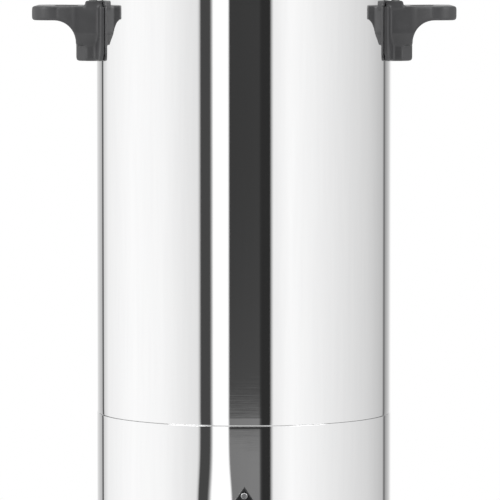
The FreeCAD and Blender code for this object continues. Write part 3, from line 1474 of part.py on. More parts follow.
make_shells()
make_tank()
make_base()
make_stud()
make_heaters()
make_handles()
make_shield()
make_tap()
make_percolator()
make_lid()
make_inlet()
make_switch()
make_lamps()
make_wires()
check_and_write()
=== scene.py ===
"""The looks of a percolating coffee urn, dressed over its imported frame."""
import json
import math

import bmesh
import bpy
from mathutils import Matrix, Vector


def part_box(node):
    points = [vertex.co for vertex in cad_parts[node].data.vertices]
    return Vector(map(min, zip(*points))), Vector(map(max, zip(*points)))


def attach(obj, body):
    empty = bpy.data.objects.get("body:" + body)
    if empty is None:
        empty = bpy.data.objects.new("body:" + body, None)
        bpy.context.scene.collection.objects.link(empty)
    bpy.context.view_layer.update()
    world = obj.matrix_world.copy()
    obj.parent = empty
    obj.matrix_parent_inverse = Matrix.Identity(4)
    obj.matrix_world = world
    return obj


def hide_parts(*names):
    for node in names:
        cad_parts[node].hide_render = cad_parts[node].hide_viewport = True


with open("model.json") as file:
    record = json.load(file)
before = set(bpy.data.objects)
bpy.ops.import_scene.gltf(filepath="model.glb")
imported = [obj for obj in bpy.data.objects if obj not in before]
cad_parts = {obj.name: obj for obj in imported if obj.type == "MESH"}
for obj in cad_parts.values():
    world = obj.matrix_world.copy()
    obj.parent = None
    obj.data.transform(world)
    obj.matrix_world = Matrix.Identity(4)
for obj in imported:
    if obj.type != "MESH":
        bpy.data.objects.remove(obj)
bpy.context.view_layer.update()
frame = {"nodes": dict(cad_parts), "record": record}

bl_info = {
    "name": "Coffee urn finishes",
    "version": (1, 0, 0),
    "blender": (4, 5, 0),
    "location": "View3D > Sidebar > Urn",
    "description": "Dresses a coffee urn's frame with polished steel, moulded plastic and its small fittings",
    "category": "Object",
}

MM = 0.001
FULL_TURN = 2 * math.pi
SHELL_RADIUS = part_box("upper_shell")[1].x
LOWER_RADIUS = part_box("lower_shell")[1].x
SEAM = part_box("upper_shell")[0].z
SEAM_LINE = 0.08 * MM
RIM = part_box("tank")[1].z

# The thickness of the shells' and the lid's sheet, and how far their edges turn in
SHEET = 0.8 * MM
TURNED_IN = 2.6 * MM

# The pull of the bracket's screw on the lower shell: where it is deepest, and how far it spreads
DENT_CENTRE = Vector((-0.020, 0, 0.108))
DENT_WIDTH = 0.014
DENT_HEIGHT = 0.027

# The lid, from its own centre
LID_SKIRT = 104.5 * MM
LID_STEP = 2.5 * MM
STEAM_HOLES = 4
STEAM_HOLE_RADIUS = 2 * MM
STEAM_HOLE_CIRCLE = 0.07

# The knob, from the lid's crown
KNOB_NECK = 9 * MM

# The screws that show
PAN_HEIGHT = 1.6 * MM
SHIELD_HEAD = 2.5 * MM
INLET_HEAD = 3.0 * MM
INLET_SCREW_HEIGHT = 19.5 * MM
BOTTOM_HEAD = 3.8 * MM
BOTTOM_PAN_HEIGHT = 2 * MM
BOTTOM_CIRCLE = 0.1025
BOTTOM_FIRST_TURN = 30

# The voxels of the moulded skins
HANDLE_VOXEL = 0.9 * MM
TAP_VOXEL = 0.5 * MM
LEVER_VOXEL = 0.4 * MM

# The bonnet's grooves and the paddle's ribs
GROOVES = 30
GROOVE_RADIUS = 0.7 * MM
GROOVE_LOW = 1.5 * MM
GROOVE_HIGH = 6.5 * MM
GROOVE_OUT = 0.25 * MM
RIBS = 5
RIB_FIRST = 4.5 * MM
RIB_PITCH = 3.0 * MM
RIB_WIDTH = 11 * MM
RIB_SIDE = 1.1 * MM
PADDLE_FALL = 4 / 30

# How far the studio's panels are turned, in degrees, and how much of them the steel gives back
PANEL_TURN = 1.5
MIRROR = 0.93

# How far the rocker's face stands out past its middle
ROCKER_FACE = 3.0 * MM


# Shader maths

class Socket:
    """A shader socket that can be used in a Python expression."""

    def __init__(self, graph, socket):
        self.graph = graph
        self.socket = socket

    def math(self, operation, *others, clamp=False):
        return self.graph.math(operation, self, *others, clamp=clamp)

    def __add__(self, other):
        return self.math("ADD", other)

    def __radd__(self, other):
        return self.math("ADD", other)

    def __sub__(self, other):
        return self.math("SUBTRACT", other)

    def __rsub__(self, other):
        return self.graph.math("SUBTRACT", other, self)

    def __mul__(self, other):
        return self.math("MULTIPLY", other)

    def __truediv__(self, other):
        return self.math("DIVIDE", other)

    def __neg__(self):
        return self.math("MULTIPLY", -1.0)


class Graph:
    """One shader tree, filled node by node."""

    def __init__(self, tree):
        self.tree = tree
        tree.nodes.clear()

    def node(self, kind, settings=None, values=None, output=0):
        made = self.tree.nodes.new(kind)
        for name, value in (settings or {}).items():
            if name == "stops":
                self.fill_ramp(made.color_ramp, value)
            else:
                setattr(made, name, value)
        for key, value in (values or {}).items():
            if isinstance(value, Socket):
                self.tree.links.new(value.socket, made.inputs[key])
            else:
                made.inputs[key].default_value = value
        return Socket(self, made.outputs[output]) if made.outputs else made

    def fill_ramp(self, ramp, stops):
        while len(ramp.elements) > 1:
            ramp.elements.remove(ramp.elements[-1])
        for number, (place, level) in enumerate(stops):
            element = ramp.elements[0] if number == 0 else ramp.elements.new(place)
            element.position = place
            element.color = (level, level, level, 1) if isinstance(level, (int, float)) else (*level, 1)

    def math(self, operation, *terms, clamp=False):
        settings = {"operation": operation, "use_clamp": clamp}
        return self.node("ShaderNodeMath", settings, dict(enumerate(terms)))

    def mix(self, factor, first, second):
        def colour(term):
            return term if isinstance(term, Socket) else (*term, 1)
        return self.node("ShaderNodeMix", {"data_type": "RGBA"},
                         {0: factor, 6: colour(first), 7: colour(second)}, output=2)

    def place(self):
        """Where a point lies in the urn's frame, in metres."""
        return self.node("ShaderNodeTexCoord", output="Object")

    def scaled(self, vector, scale):
        return self.node("ShaderNodeVectorMath", {"operation": "MULTIPLY"}, {0: vector, 1: scale})

    def parts(self, vector):
        made = self.tree.nodes.new("ShaderNodeSeparateXYZ")
        self.tree.links.new(vector.socket, made.inputs[0])
        return [Socket(self, output) for output in made.outputs]

    def noise(self, scale, detail=3.0, stretch=(1, 1, 1), roughness=0.5):
        vector = self.scaled(self.place(), stretch)
        return self.node("ShaderNodeTexNoise", {}, {"Vector": vector, "Scale": scale, "Detail": detail,
                                                   "Roughness": roughness})

    def bump(self, height, strength, distance):
        return self.node("ShaderNodeBump", {}, {"Strength": strength, "Distance": distance, "Height": height})


made_finishes = {}


def finish(name, build):
    """A material made once by build(graph), which gives the shader's socket values."""
    if name in made_finishes:
        return made_finishes[name]
    material = bpy.data.materials.new(name)
    material.use_nodes = True
    graph = Graph(material.node_tree)
    surface = graph.node("ShaderNodeBsdfPrincipled", {}, build(graph), output="BSDF")
    graph.node("ShaderNodeOutputMaterial", {}, {"Surface": surface})
    made_finishes[name] = material
    return material


def polished_steel():
    def build(graph):
        rings = graph.noise(1.0, 4.0, (30, 30, 5200), 0.6)
        patches = graph.noise(9.0, 2.0)
        streaks = graph.noise(1.0, 2.0, (260, 260, 14))
        roughness = 0.010 + patches * 0.012 + rings * 0.010
        colour = graph.mix(streaks, (0.90, 0.90, 0.905), (0.94, 0.94, 0.94))
        bump = graph.bump(rings + streaks * 0.2, 0.007, 0.0004)
        return {"Base Color": colour, "Metallic": 1.0, "Roughness": roughness, "Normal": bump}
    return finish("polished_steel", build)


def satin_steel():
    def build(graph):
        brush = graph.noise(1.0, 4.0, (40, 40, 3000), 0.6)
        patches = graph.noise(14.0, 3.0)
        colour = graph.mix(patches, (0.60, 0.60, 0.61), (0.70, 0.70, 0.70))
        return {"Base Color": colour, "Metallic": 1.0, "Roughness": 0.22 + brush * 0.16,
                "Normal": graph.bump(brush, 0.10, 0.0003)}
    return finish("satin_steel", build)


def bright_metal(name, colour, worn, roughness):
    def build(graph):
        grain = graph.noise(900.0, 3.0)
        patches = graph.noise(120.0, 2.0)
        return {"Base Color": graph.mix(patches, colour, worn), "Metallic": 1.0,
                "Roughness": roughness + grain * 0.12, "Normal": graph.bump(grain, 0.06, 0.0001)}
    return finish(name, build)


def moulded_plastic(name, colour, roughness, grain_size=1400.0, grain=0.05, faded=1.5):
    """Moulded plastic: fine grain, a slow change of gloss and faintly paler rubbed places."""
    def build(graph):
        skin = graph.noise(grain_size, 2.0)
        flow = graph.noise(42.0, 3.0)
        rubbed = graph.noise(95.0, 5.0).math("POWER", 3.0)
        tone = graph.mix(rubbed, colour, tuple(min(1.0, level * faded + 0.004) for level in colour))
        return {"Base Color": tone, "Roughness": roughness + (flow - 0.5) * 0.10 + rubbed * 0.12,
                "Specular IOR Level": 0.5,
                "Normal": graph.bump(skin + flow * 0.4, grain, 0.0002)}
    return finish(name, build)


def rubber(name, colour):
    def build(graph):
        grain = graph.noise(700.0, 4.0)
        dust = graph.noise(60.0, 4.0)
        return {"Base Color": graph.mix(dust, colour, tuple(level * 1.4 + 0.01 for level in colour)),
                "Roughness": 0.62 + grain * 0.2, "Normal": graph.bump(grain, 0.2, 0.0003)}
    return finish(name, build)


def tinted_lens(name, colour, glow):
    def build(graph):
        swirl = graph.noise(240.0, 2.0)
        return {"Base Color": graph.mix(swirl, colour, tuple(level * 0.7 for level in colour)),
                "Roughness": 0.12 + swirl * 0.06, "Coat Weight": 0.6,
                "Emission Color": graph.mix(swirl, glow, colour), "Emission Strength": 0.12,
                "Normal": graph.bump(swirl, 0.05, 0.0002)}
    return finish(name, build)


def wire_sleeve():
    """Insulation in the colours of the wires, which lie side by side along X."""
    def build(graph):
        across = graph.parts(graph.place())[0]
        bands = graph.node("ShaderNodeValToRGB", {"stops": [
            (0.0, (0.02, 0.05, 0.32)), (0.42, (0.02, 0.05, 0.32)), (0.44, (0.55, 0.5, 0.06)),
            (0.56, (0.55, 0.5, 0.06)), (0.58, (0.30, 0.07, 0.02)), (1.0, (0.30, 0.07, 0.02))]},
            {0: across * 4.0 + 0.5})
        sheen = graph.noise(500.0, 2.0)
        return {"Base Color": bands, "Roughness": 0.4 + sheen * 0.1, "Normal": graph.bump(sheen, 0.1, 0.0002)}
    return finish("wire_sleeve", build)


# Meshes

def new_piece(name, mesh, material, body, *replaced, smooth_angle=35):
    """Puts a mesh into the scene as a piece that rides on a body."""
    for face in mesh.polygons:
        face.use_smooth = True
    mesh.set_sharp_from_angle(angle=math.radians(smooth_angle))
    piece = bpy.data.objects.new(name, mesh)
    bpy.context.scene.collection.objects.link(piece)
    mesh.materials.clear()
    mesh.materials.append(material)
    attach(piece, body)
    if replaced:
        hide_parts(*replaced)
        slot_of(replaced[0])
    return piece


def slot_of(node):
    for entry in frame["record"]["subparts"]:
        if entry["node"] == node:
            return entry["material_slot"]
    raise KeyError(node)


def lathe(name, profile, segments=256, closed=True):
    """A mesh turned about Z from pairs of radius and height, outside first."""
    shape = bmesh.new()
    rings = []
    for radius, height in profile:
        if radius < 1e-7:
            rings.append([shape.verts.new((0, 0, height))])
            continue
        rings.append([shape.verts.new((radius * math.cos(FULL_TURN * step / segments),
                                       radius * math.sin(FULL_TURN * step / segments), height))
                      for step in range(segments)])
    pairs = list(zip(rings, rings[1:] + rings[:1])) if closed else list(zip(rings, rings[1:]))
    for low, high in pairs:
        for step in range(segments):
            after = (step + 1) % segments
            corners = [low[step % len(low)], low[after % len(low)],
                       high[after % len(high)], high[step % len(high)]]
            unique = list(dict.fromkeys(corners))
            if len(unique) > 2:
                shape.faces.new(unique)
    bmesh.ops.recalc_face_normals(shape, faces=shape.faces)
    mesh = bpy.data.meshes.new(name)
    shape.to_mesh(mesh)
    shape.free()
    return mesh


def arc(centre, radius, start, end, steps=8):
    """Points of an arc in a profile, with its angles in degrees from the outward direction."""
    return [(centre[0] + radius * math.cos(math.radians(start + (end - start) * step / steps)),
             centre[1] + radius * math.sin(math.radians(start + (end - start) * step / steps)))
            for step in range(steps + 1)]


def rise(bottom, top, radius, steps):
    """Points up a straight wall, so that it can be bent a little afterwards."""
    return [(radius, bottom + (top - bottom) * step / steps) for step in range(steps + 1)]


def applied(source, build):
    """The mesh of an object after the modifiers that build(object) adds."""
    copy = bpy.data.objects.new("working", source)
    bpy.context.scene.collection.objects.link(copy)
    build(copy)
    bpy.context.view_layer.update()
    evaluated = copy.evaluated_get(bpy.context.evaluated_depsgraph_get())
    mesh = bpy.data.meshes.new_from_object(evaluated)
    bpy.data.objects.remove(copy)
    return mesh


def moulded_copy(node, voxel, passes=4, factor=0.5):
    """A node's own form with the soft edges of a moulding."""
    def build(copy):
        remesh = copy.modifiers.new("skin", "REMESH")
        remesh.mode = "VOXEL"
        remesh.voxel_size = voxel
        smooth = copy.modifiers.new("soft", "SMOOTH")
        smooth.iterations = passes
        smooth.factor = factor
    return applied(frame["nodes"][node].data.copy(), build)


def pierced(mesh, tools):
    """A mesh with closed tool meshes cut out of it."""
    holders = []
    for tool in tools:
        holder = bpy.data.objects.new("tool", tool)
        bpy.context.scene.collection.objects.link(holder)
        holders.append(holder)

    def build(copy):
        for holder in holders:
            cutter = copy.modifiers.new("cut", "BOOLEAN")
            cutter.operation = "DIFFERENCE"
            cutter.solver = "EXACT"
            cutter.object = holder
    result = applied(mesh, build)
    for holder in holders:
        bpy.data.objects.remove(holder)
    return result


def joined(meshes, name):
    shape = bmesh.new()
    for mesh in meshes:
        shape.from_mesh(mesh)
    result = bpy.data.meshes.new(name)
    shape.to_mesh(result)
    shape.free()
    return result


def moved(mesh, matrix):
    mesh.transform(matrix)
    return mesh


def slab(size, centre):
    """A closed block with small bevels."""
    shape = bmesh.new()
    bmesh.ops.create_cube(shape, size=1.0)
    bmesh.ops.scale(shape, vec=size, verts=shape.verts)
    bmesh.ops.bevel(shape, geom=shape.edges[:], offset=min(size) * 0.12, segments=2, affect="EDGES")
    bmesh.ops.translate(shape, vec=centre, verts=shape.verts)
    mesh = bpy.data.meshes.new("slab")
    shape.to_mesh(mesh)
    shape.free()
    return mesh


def pan_head_screw(head_radius, head_height, shank_radius, shank_length):
    """A pan-head screw with a cross recess; its seat is at the origin and its head points along +Z."""
    edge = head_height * 0.45
    crown = [(head_radius, 0.0), (head_radius, head_height - edge)]
    crown += arc((head_radius - edge * 1.3, head_height - edge), edge * 1.3, 10, 80, 5)
    crown = [(radius, min(height, head_height)) for radius, height in crown]
    profile = [(0.0, -shank_length), (shank_radius, -shank_length), (shank_radius, 0.0),
               *crown, (0.0, head_height)]
    head = lathe("screw", profile, 40, closed=False)
    slot_width = head_radius * 0.26
    reach = head_radius * 1.15
    depth = head_height * 0.55
    bars = [slab((reach, slot_width, depth * 2), (0, 0, head_height)),
            slab((slot_width, reach, depth * 2), (0, 0, head_height))]
    return pierced(head, bars)


# The sizes and colours that a user would change

class UrnStudio(bpy.types.PropertyGroup):
    """The camera and the light."""
    distance: bpy.props.FloatProperty(
        name="Distance", description="Camera's distance in front of the urn's axis", default=3.489,
        unit="LENGTH")
    sideways: bpy.props.FloatProperty(
        name="Sideways", description="Camera's offset to the right of the axis", default=0.00445,
        unit="LENGTH")
    height: bpy.props.FloatProperty(
        name="Height", description="Camera's height above the table", default=0.536, unit="LENGTH")
    pitch: bpy.props.FloatProperty(
        name="Pitch", description="How far the camera looks down", default=math.radians(3.93),
        subtype="ANGLE")
    lens: bpy.props.FloatProperty(
        name="Lens", description="Focal length for a sensor 36 mm wide", default=321.7, unit="CAMERA")
    floor_radius: bpy.props.FloatProperty(
        name="Floor radius", description="Where the pale floor has faded out", default=0.62, unit="LENGTH")
    floor_colour: bpy.props.FloatVectorProperty(
        name="Floor", description="Colour of the floor", default=(0.86, 0.86, 0.86), subtype="COLOR")


class UrnFinishes(bpy.types.PropertyGroup):
    """The colours of the moulded pieces."""
    black: bpy.props.FloatVectorProperty(
        name="Black plastic", description="Tap, bracket and small fittings", default=(0.012, 0.012, 0.013),
        subtype="COLOR")
    black_gloss: bpy.props.FloatProperty(
        name="Roughness", description="Roughness of the black plastic", default=0.30, min=0.05, max=1.0,
        subtype="FACTOR")
    grip: bpy.props.FloatVectorProperty(
        name="Grip plastic", description="Handles, knob and base", default=(0.052, 0.052, 0.054),
        subtype="COLOR")
    grip_gloss: bpy.props.FloatProperty(
        name="Grip roughness", description="Roughness of the handles, knob and base", default=0.36, min=0.05,
        max=1.0, subtype="FACTOR")
    silicone: bpy.props.FloatVectorProperty(
        name="Silicone", description="Washers and valve seal", default=(0.62, 0.60, 0.55), subtype="COLOR")
    dimple: bpy.props.FloatProperty(
        name="Dimple", description="How far the screwed bracket draws the lower shell in", default=0.00035,
        unit="LENGTH")


class URN_OT_finishes(bpy.types.Operator):
    """Give every carried-over part its material"""
    bl_idname = "urn.finishes"
    bl_label = "Finishes"

    def execute(self, context):
        colours = context.scene.urn_finishes
        black = tuple(colours.black)
        by_slot = {
            "polished_steel": polished_steel(),
            "tank_steel": satin_steel(),
            "black_plastic": moulded_plastic("grip_plastic", tuple(colours.grip), colours.grip_gloss),
            "tap_plastic": moulded_plastic("tap_plastic", black, colours.black_gloss * 0.9),
            "pump_aluminium": bright_metal("pump_aluminium", (0.66, 0.66, 0.67), (0.56, 0.56, 0.57), 0.30),
            "bright_screw": bright_metal("bright_screw", (0.78, 0.78, 0.79), (0.62, 0.62, 0.63), 0.18),
            "black_rubber": rubber("black_rubber", (0.014, 0.014, 0.014)),
            "silicone": rubber("silicone", tuple(colours.silicone)),
            "plated_steel": bright_metal("plated_steel", (0.56, 0.57, 0.59), (0.48, 0.47, 0.42), 0.34),
            "heater_sheath": bright_metal("heater_sheath", (0.20, 0.19, 0.18), (0.30, 0.25, 0.18), 0.5),
            "control_plastic": moulded_plastic("control_plastic", (0.016, 0.016, 0.017), 0.5),
            "rocker_plastic": moulded_plastic("rocker_plastic", (0.012, 0.012, 0.013), 0.22),
            "brass_pin": bright_metal("brass_pin", (0.72, 0.55, 0.25), (0.58, 0.42, 0.18), 0.25),
            "wire_sleeve": wire_sleeve(),
            "green_lens": tinted_lens("green_lens", (0.03, 0.35, 0.08), (0.1, 0.8, 0.2)),
            "amber_lens": tinted_lens("amber_lens", (0.60, 0.20, 0.02), (0.9, 0.4, 0.05)),
        }
        for entry in frame["record"]["subparts"]:
            piece = frame["nodes"][entry["node"]]
            piece.data.materials.clear()
            dark = entry["node"] == "tap_shield"
            piece.data.materials.append(by_slot["tap_plastic" if dark else entry["material_slot"]])
        return {"FINISHED"}


class URN_OT_shells(bpy.types.Operator):
    """Make the two polished shells with their curled edges"""
    bl_idname = "urn.shells"
    bl_label = "Shells"

    def execute(self, context):
        curl = 0.75 * MM
        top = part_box("upper_shell")[1].z
        outside = [(SHELL_RADIUS, top)] + rise(SEAM + curl, top, SHELL_RADIUS, 60)[::-1]
        edge = arc((SHELL_RADIUS - curl, SEAM + curl), curl, 0, -90, 10)
        inside = [(SHELL_RADIUS - TURNED_IN, SEAM), (SHELL_RADIUS - TURNED_IN, SEAM + SHEET),
                  (SHELL_RADIUS - SHEET, SEAM + SHEET * 1.6), (SHELL_RADIUS - SHEET, top)]
        mesh = lathe("upper_shell_skin", outside[1:] + edge[1:] + inside, 360)
        new_piece("upper_shell_skin", mesh, polished_steel(), "root", "upper_shell")

        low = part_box("lower_shell")[0]
        curl = 0.3 * MM
        top = SEAM - SEAM_LINE
        edge = arc((LOWER_RADIUS - curl, top - curl), curl, 0, 90, 10)
        inside = [(LOWER_RADIUS - TURNED_IN, top), (LOWER_RADIUS - TURNED_IN, top - SHEET),
                  (LOWER_RADIUS - SHEET, top - SHEET * 1.6), (LOWER_RADIUS - SHEET, low.z)]
        profile = rise(low.z, top - curl, LOWER_RADIUS, 70) + edge[1:] + inside
        mesh = lathe("lower_shell_skin", profile, 360)
        self.draw_in(mesh, context.scene.urn_finishes.dimple)
        new_piece("lower_shell_skin", mesh, polished_steel(), "root", "lower_shell")
        return {"FINISHED"}

    def draw_in(self, mesh, depth):
        """Draws the sheet in a little beside the bracket, where its screw pulls on it."""
        for vertex in mesh.vertices:
            if vertex.co.y > 0:
                continue
            across = (vertex.co.x - DENT_CENTRE.x) / DENT_WIDTH
            up = (vertex.co.z - DENT_CENTRE.z) / DENT_HEIGHT
            pull = depth * math.exp(-across * across - up * up)
            radius = math.hypot(vertex.co.x, vertex.co.y)
            vertex.co.x *= (radius - pull) / radius
            vertex.co.y *= (radius - pull) / radius


class URN_OT_tank_and_lid(bpy.types.Operator):
    """Make the domed lid, with the rolled lip that sits on the tank's rim"""
    bl_idname = "urn.tank_and_lid"
    bl_label = "Tank and lid"

    def execute(self, context):
        low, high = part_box("lid")
        lip = high.x
        crown = high.z
        step = RIM + LID_STEP
        sphere = (LID_SKIRT ** 2 + (crown - step) ** 2) / (2 * (crown - step))
        spread = math.degrees(math.asin(LID_SKIRT / sphere))
        dome = arc((0, crown - sphere), sphere, 90 - spread, 90, 40)
        roll = arc((lip - 1.1 * MM, RIM + 1.1 * MM), 1.1 * MM, -90, 90, 8)
        under = [(radius - SHEET if radius > SHEET else 0.0, height - SHEET) for radius, height in dome[::-1]]
        profile = [(LID_SKIRT, low.z), (LID_SKIRT, RIM), *roll, (LID_SKIRT + 4 * MM, RIM + 2.2 * MM),
                   *dome, *under, (LID_SKIRT - SHEET, step - SHEET), (LID_SKIRT - SHEET, low.z)]
        mesh = lathe("lid_skin", profile, 256)
        holes = []
        drilled = RIM + 40 * MM
        for number in range(STEAM_HOLES):
            turn = FULL_TURN * (number + 0.5) / STEAM_HOLES
            outline = [(0, RIM), (STEAM_HOLE_RADIUS, RIM), (STEAM_HOLE_RADIUS, drilled), (0, drilled)]
            drill = lathe("drill", outline, 24, closed=False)
            place = (STEAM_HOLE_CIRCLE * math.cos(turn), STEAM_HOLE_CIRCLE * math.sin(turn), 0)
            holes.append(moved(drill, Matrix.Translation(place)))
        new_piece("lid_skin", pierced(mesh, holes), polished_steel(), "lid", "lid")

        knob_low, knob_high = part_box("lid_knob")
        radius = knob_high.x
        height = knob_high.z
        base = knob_low.z
        flare = KNOB_NECK * 1.3
        profile = [(0, base), (flare, base), *arc((flare + 1 * MM, base + 5 * MM), 4.2 * MM, 250, 180, 6),
                   (KNOB_NECK, base + 12 * MM), *arc((radius - 3 * MM, base + 17 * MM), 3 * MM, -80, 0, 8),
                   *arc((radius - 6 * MM, height - 6 * MM), 6 * MM, 0, 80, 10),
                   (radius * 0.62, height), (radius * 0.58, height - 1.2 * MM), (0, height - 1.6 * MM)]
        black = made_finishes["grip_plastic"]
        new_piece("knob_skin", lathe("knob_skin", profile, 96, closed=False), black, "lid", "lid_knob",
                  smooth_angle=50)
        return {"FINISHED"}


class URN_OT_handles(bpy.types.Operator):
    """Make the two moulded handles"""
    bl_idname = "urn.handles"
    bl_label = "Handles"

    def execute(self, context):
        grip = made_finishes["grip_plastic"]
        for side in ("left", "right"):
            mesh = moulded_copy(f"{side}_handle", HANDLE_VOXEL, 6)
            new_piece(f"{side}_handle_skin", mesh, grip, "root", f"{side}_handle", smooth_angle=40)
        return {"FINISHED"}


class URN_OT_screws(bpy.types.Operator):
    """Make the screw heads that show"""
    bl_idname = "urn.screws"
    bl_label = "Screws"

    def execute(self, context):
        bright = made_finishes["bright_screw"]
        low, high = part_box("shield_screws")
        face = low.y + PAN_HEIGHT
        forward = Matrix.Rotation(math.radians(90), 4, "X")
        screws = []
        for height, turn in ((high.z - SHIELD_HEAD, 12), (low.z + SHIELD_HEAD, 40)):
            screw = pan_head_screw(SHIELD_HEAD, PAN_HEIGHT, 2.0 * MM, 8 * MM)
            screw.transform(Matrix.Rotation(math.radians(turn), 4, "Z"))
            screws.append(moved(screw, Matrix.Translation((0, face, height)) @ forward))
        new_piece("shield_screw_heads", joined(screws, "shield_screw_heads"), bright, "root", "shield_screws")

        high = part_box("inlet_screws")[1]
        face = high.y - PAN_HEIGHT
        backward = Matrix.Rotation(math.radians(-90), 4, "X")
        screws = []
        for side, turn in ((-1, 20), (1, 65)):
            screw = pan_head_screw(INLET_HEAD, PAN_HEIGHT, 1.6 * MM, 9 * MM)
            screw.transform(Matrix.Rotation(math.radians(turn), 4, "Z"))
            place = (side * (high.x - INLET_HEAD), face, INLET_SCREW_HEIGHT)
            screws.append(moved(screw, Matrix.Translation(place) @ backward))
        new_piece("inlet_screw_heads", joined(screws, "inlet_screw_heads"), bright, "root", "inlet_screws")

        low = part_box("bottom_plate_screws")[0]
        seat = low.z + BOTTOM_PAN_HEIGHT
        down = Matrix.Rotation(math.pi, 4, "X")
        screws = []
        for number in range(3):
            turn = math.radians(BOTTOM_FIRST_TURN + 120 * number)
            screw = pan_head_screw(BOTTOM_HEAD, BOTTOM_PAN_HEIGHT, 2 * MM, 5.6 * MM)
            place = (BOTTOM_CIRCLE * math.cos(turn), BOTTOM_CIRCLE * math.sin(turn), seat)
            screws.append(moved(screw, Matrix.Translation(place) @ down))
        new_piece("bottom_screw_heads", joined(screws, "bottom_screw_heads"), bright, "root",
                  "bottom_plate_screws")
        return {"FINISHED"}


class URN_OT_tap(bpy.types.Operator):
    """Make the tap's moulded pieces, with a ribbed bonnet and paddle"""
    bl_idname = "urn.tap"
    bl_label = "Tap"

    def execute(self, context):
        black = made_finishes["tap_plastic"]
        body = new_piece("tap_body_skin", moulded_copy("tap_body", TAP_VOXEL, 2), black, "root", "tap_body",
                         smooth_angle=60)

        groove_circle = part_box("tap_bonnet")[1].x + GROOVE_OUT
        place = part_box("valve_seal")
        middle = (place[0].y + place[1].y) / 2
        cap_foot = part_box("tap_body")[1].z
        start = cap_foot + GROOVE_LOW
        end = cap_foot + GROOVE_HIGH
        grooves = []
        for number in range(GROOVES):
            turn = FULL_TURN * number / GROOVES
            outline = [(0, start), (GROOVE_RADIUS, start), (GROOVE_RADIUS, end), (0, end)]
            drill = lathe("drill", outline, 12, closed=False)
            place = (groove_circle * math.cos(turn), middle + groove_circle * math.sin(turn), 0)
            grooves.append(moved(drill, Matrix.Translation(place)))
        bonnet = pierced(frame["nodes"]["tap_bonnet"].data.copy(), [joined(grooves, "grooves")])
        cap = new_piece("tap_bonnet_skin", bonnet, black, "root", "tap_bonnet", smooth_angle=35)

        low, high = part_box("tap_lever")
        ribs = []
        for number in range(RIBS):
            along = low.y + RIB_FIRST + RIB_PITCH * number
            top = high.z - (along - low.y) * PADDLE_FALL
            ribs.append(slab((RIB_WIDTH, RIB_SIDE, RIB_SIDE), (0, along, top - 0.25 * MM)))
        lever = joined([moulded_copy("tap_lever", LEVER_VOXEL, 3), *ribs], "tap_lever_skin")
        paddle = new_piece("tap_lever_skin", lever, black, "lever", "tap_lever", smooth_angle=60)

        shield = frame["nodes"]["tap_shield"].data.copy()
        new_piece("tap_shield_skin", shield, black, "root", "tap_shield", smooth_angle=25)

        # The tap leaves no dark image in the polished shell, where the photographed shell shows none
        hidden = [frame["nodes"][node] for node in ("valve_stem", "stem_pin", "lever_pin", "tap_spring")]
        for piece in (body, paddle, cap, *hidden):
            piece.visible_glossy = False
        return {"FINISHED"}


class URN_OT_switch_marks(bpy.types.Operator):
    """Mark the switch's rocker with the plain on and off signs"""
    bl_idname = "urn.switch_marks"
    bl_label = "Switch marks"

    def execute(self, context):
        low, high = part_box("switch_rocker")
        centre = (low + high) / 2
        height = centre.z
        radius = math.hypot(centre.x, centre.y) + ROCKER_FACE
        around = Matrix.Rotation(math.atan2(centre.x, -centre.y), 4, "Z")
        bar = slab((0.9 * MM, 0.5 * MM, 3.2 * MM), (0, -radius - 0.35 * MM, height + 3.3 * MM))
        loop = lathe("loop", [(1.2 * MM, -0.25 * MM), (1.7 * MM, -0.25 * MM), (1.7 * MM, 0.25 * MM),
                              (1.2 * MM, 0.25 * MM)], 40)
        loop.transform(Matrix.Translation((0, -radius + 0.35 * MM, height - 3.3 * MM))
                       @ Matrix.Rotation(math.radians(90), 4, "X"))
        white = moulded_plastic("mark_white", (0.75, 0.75, 0.73), 0.4)
        new_piece("switch_marks", moved(joined([bar, loop], "switch_marks"), around), white, "rocker")
        return {"FINISHED"}


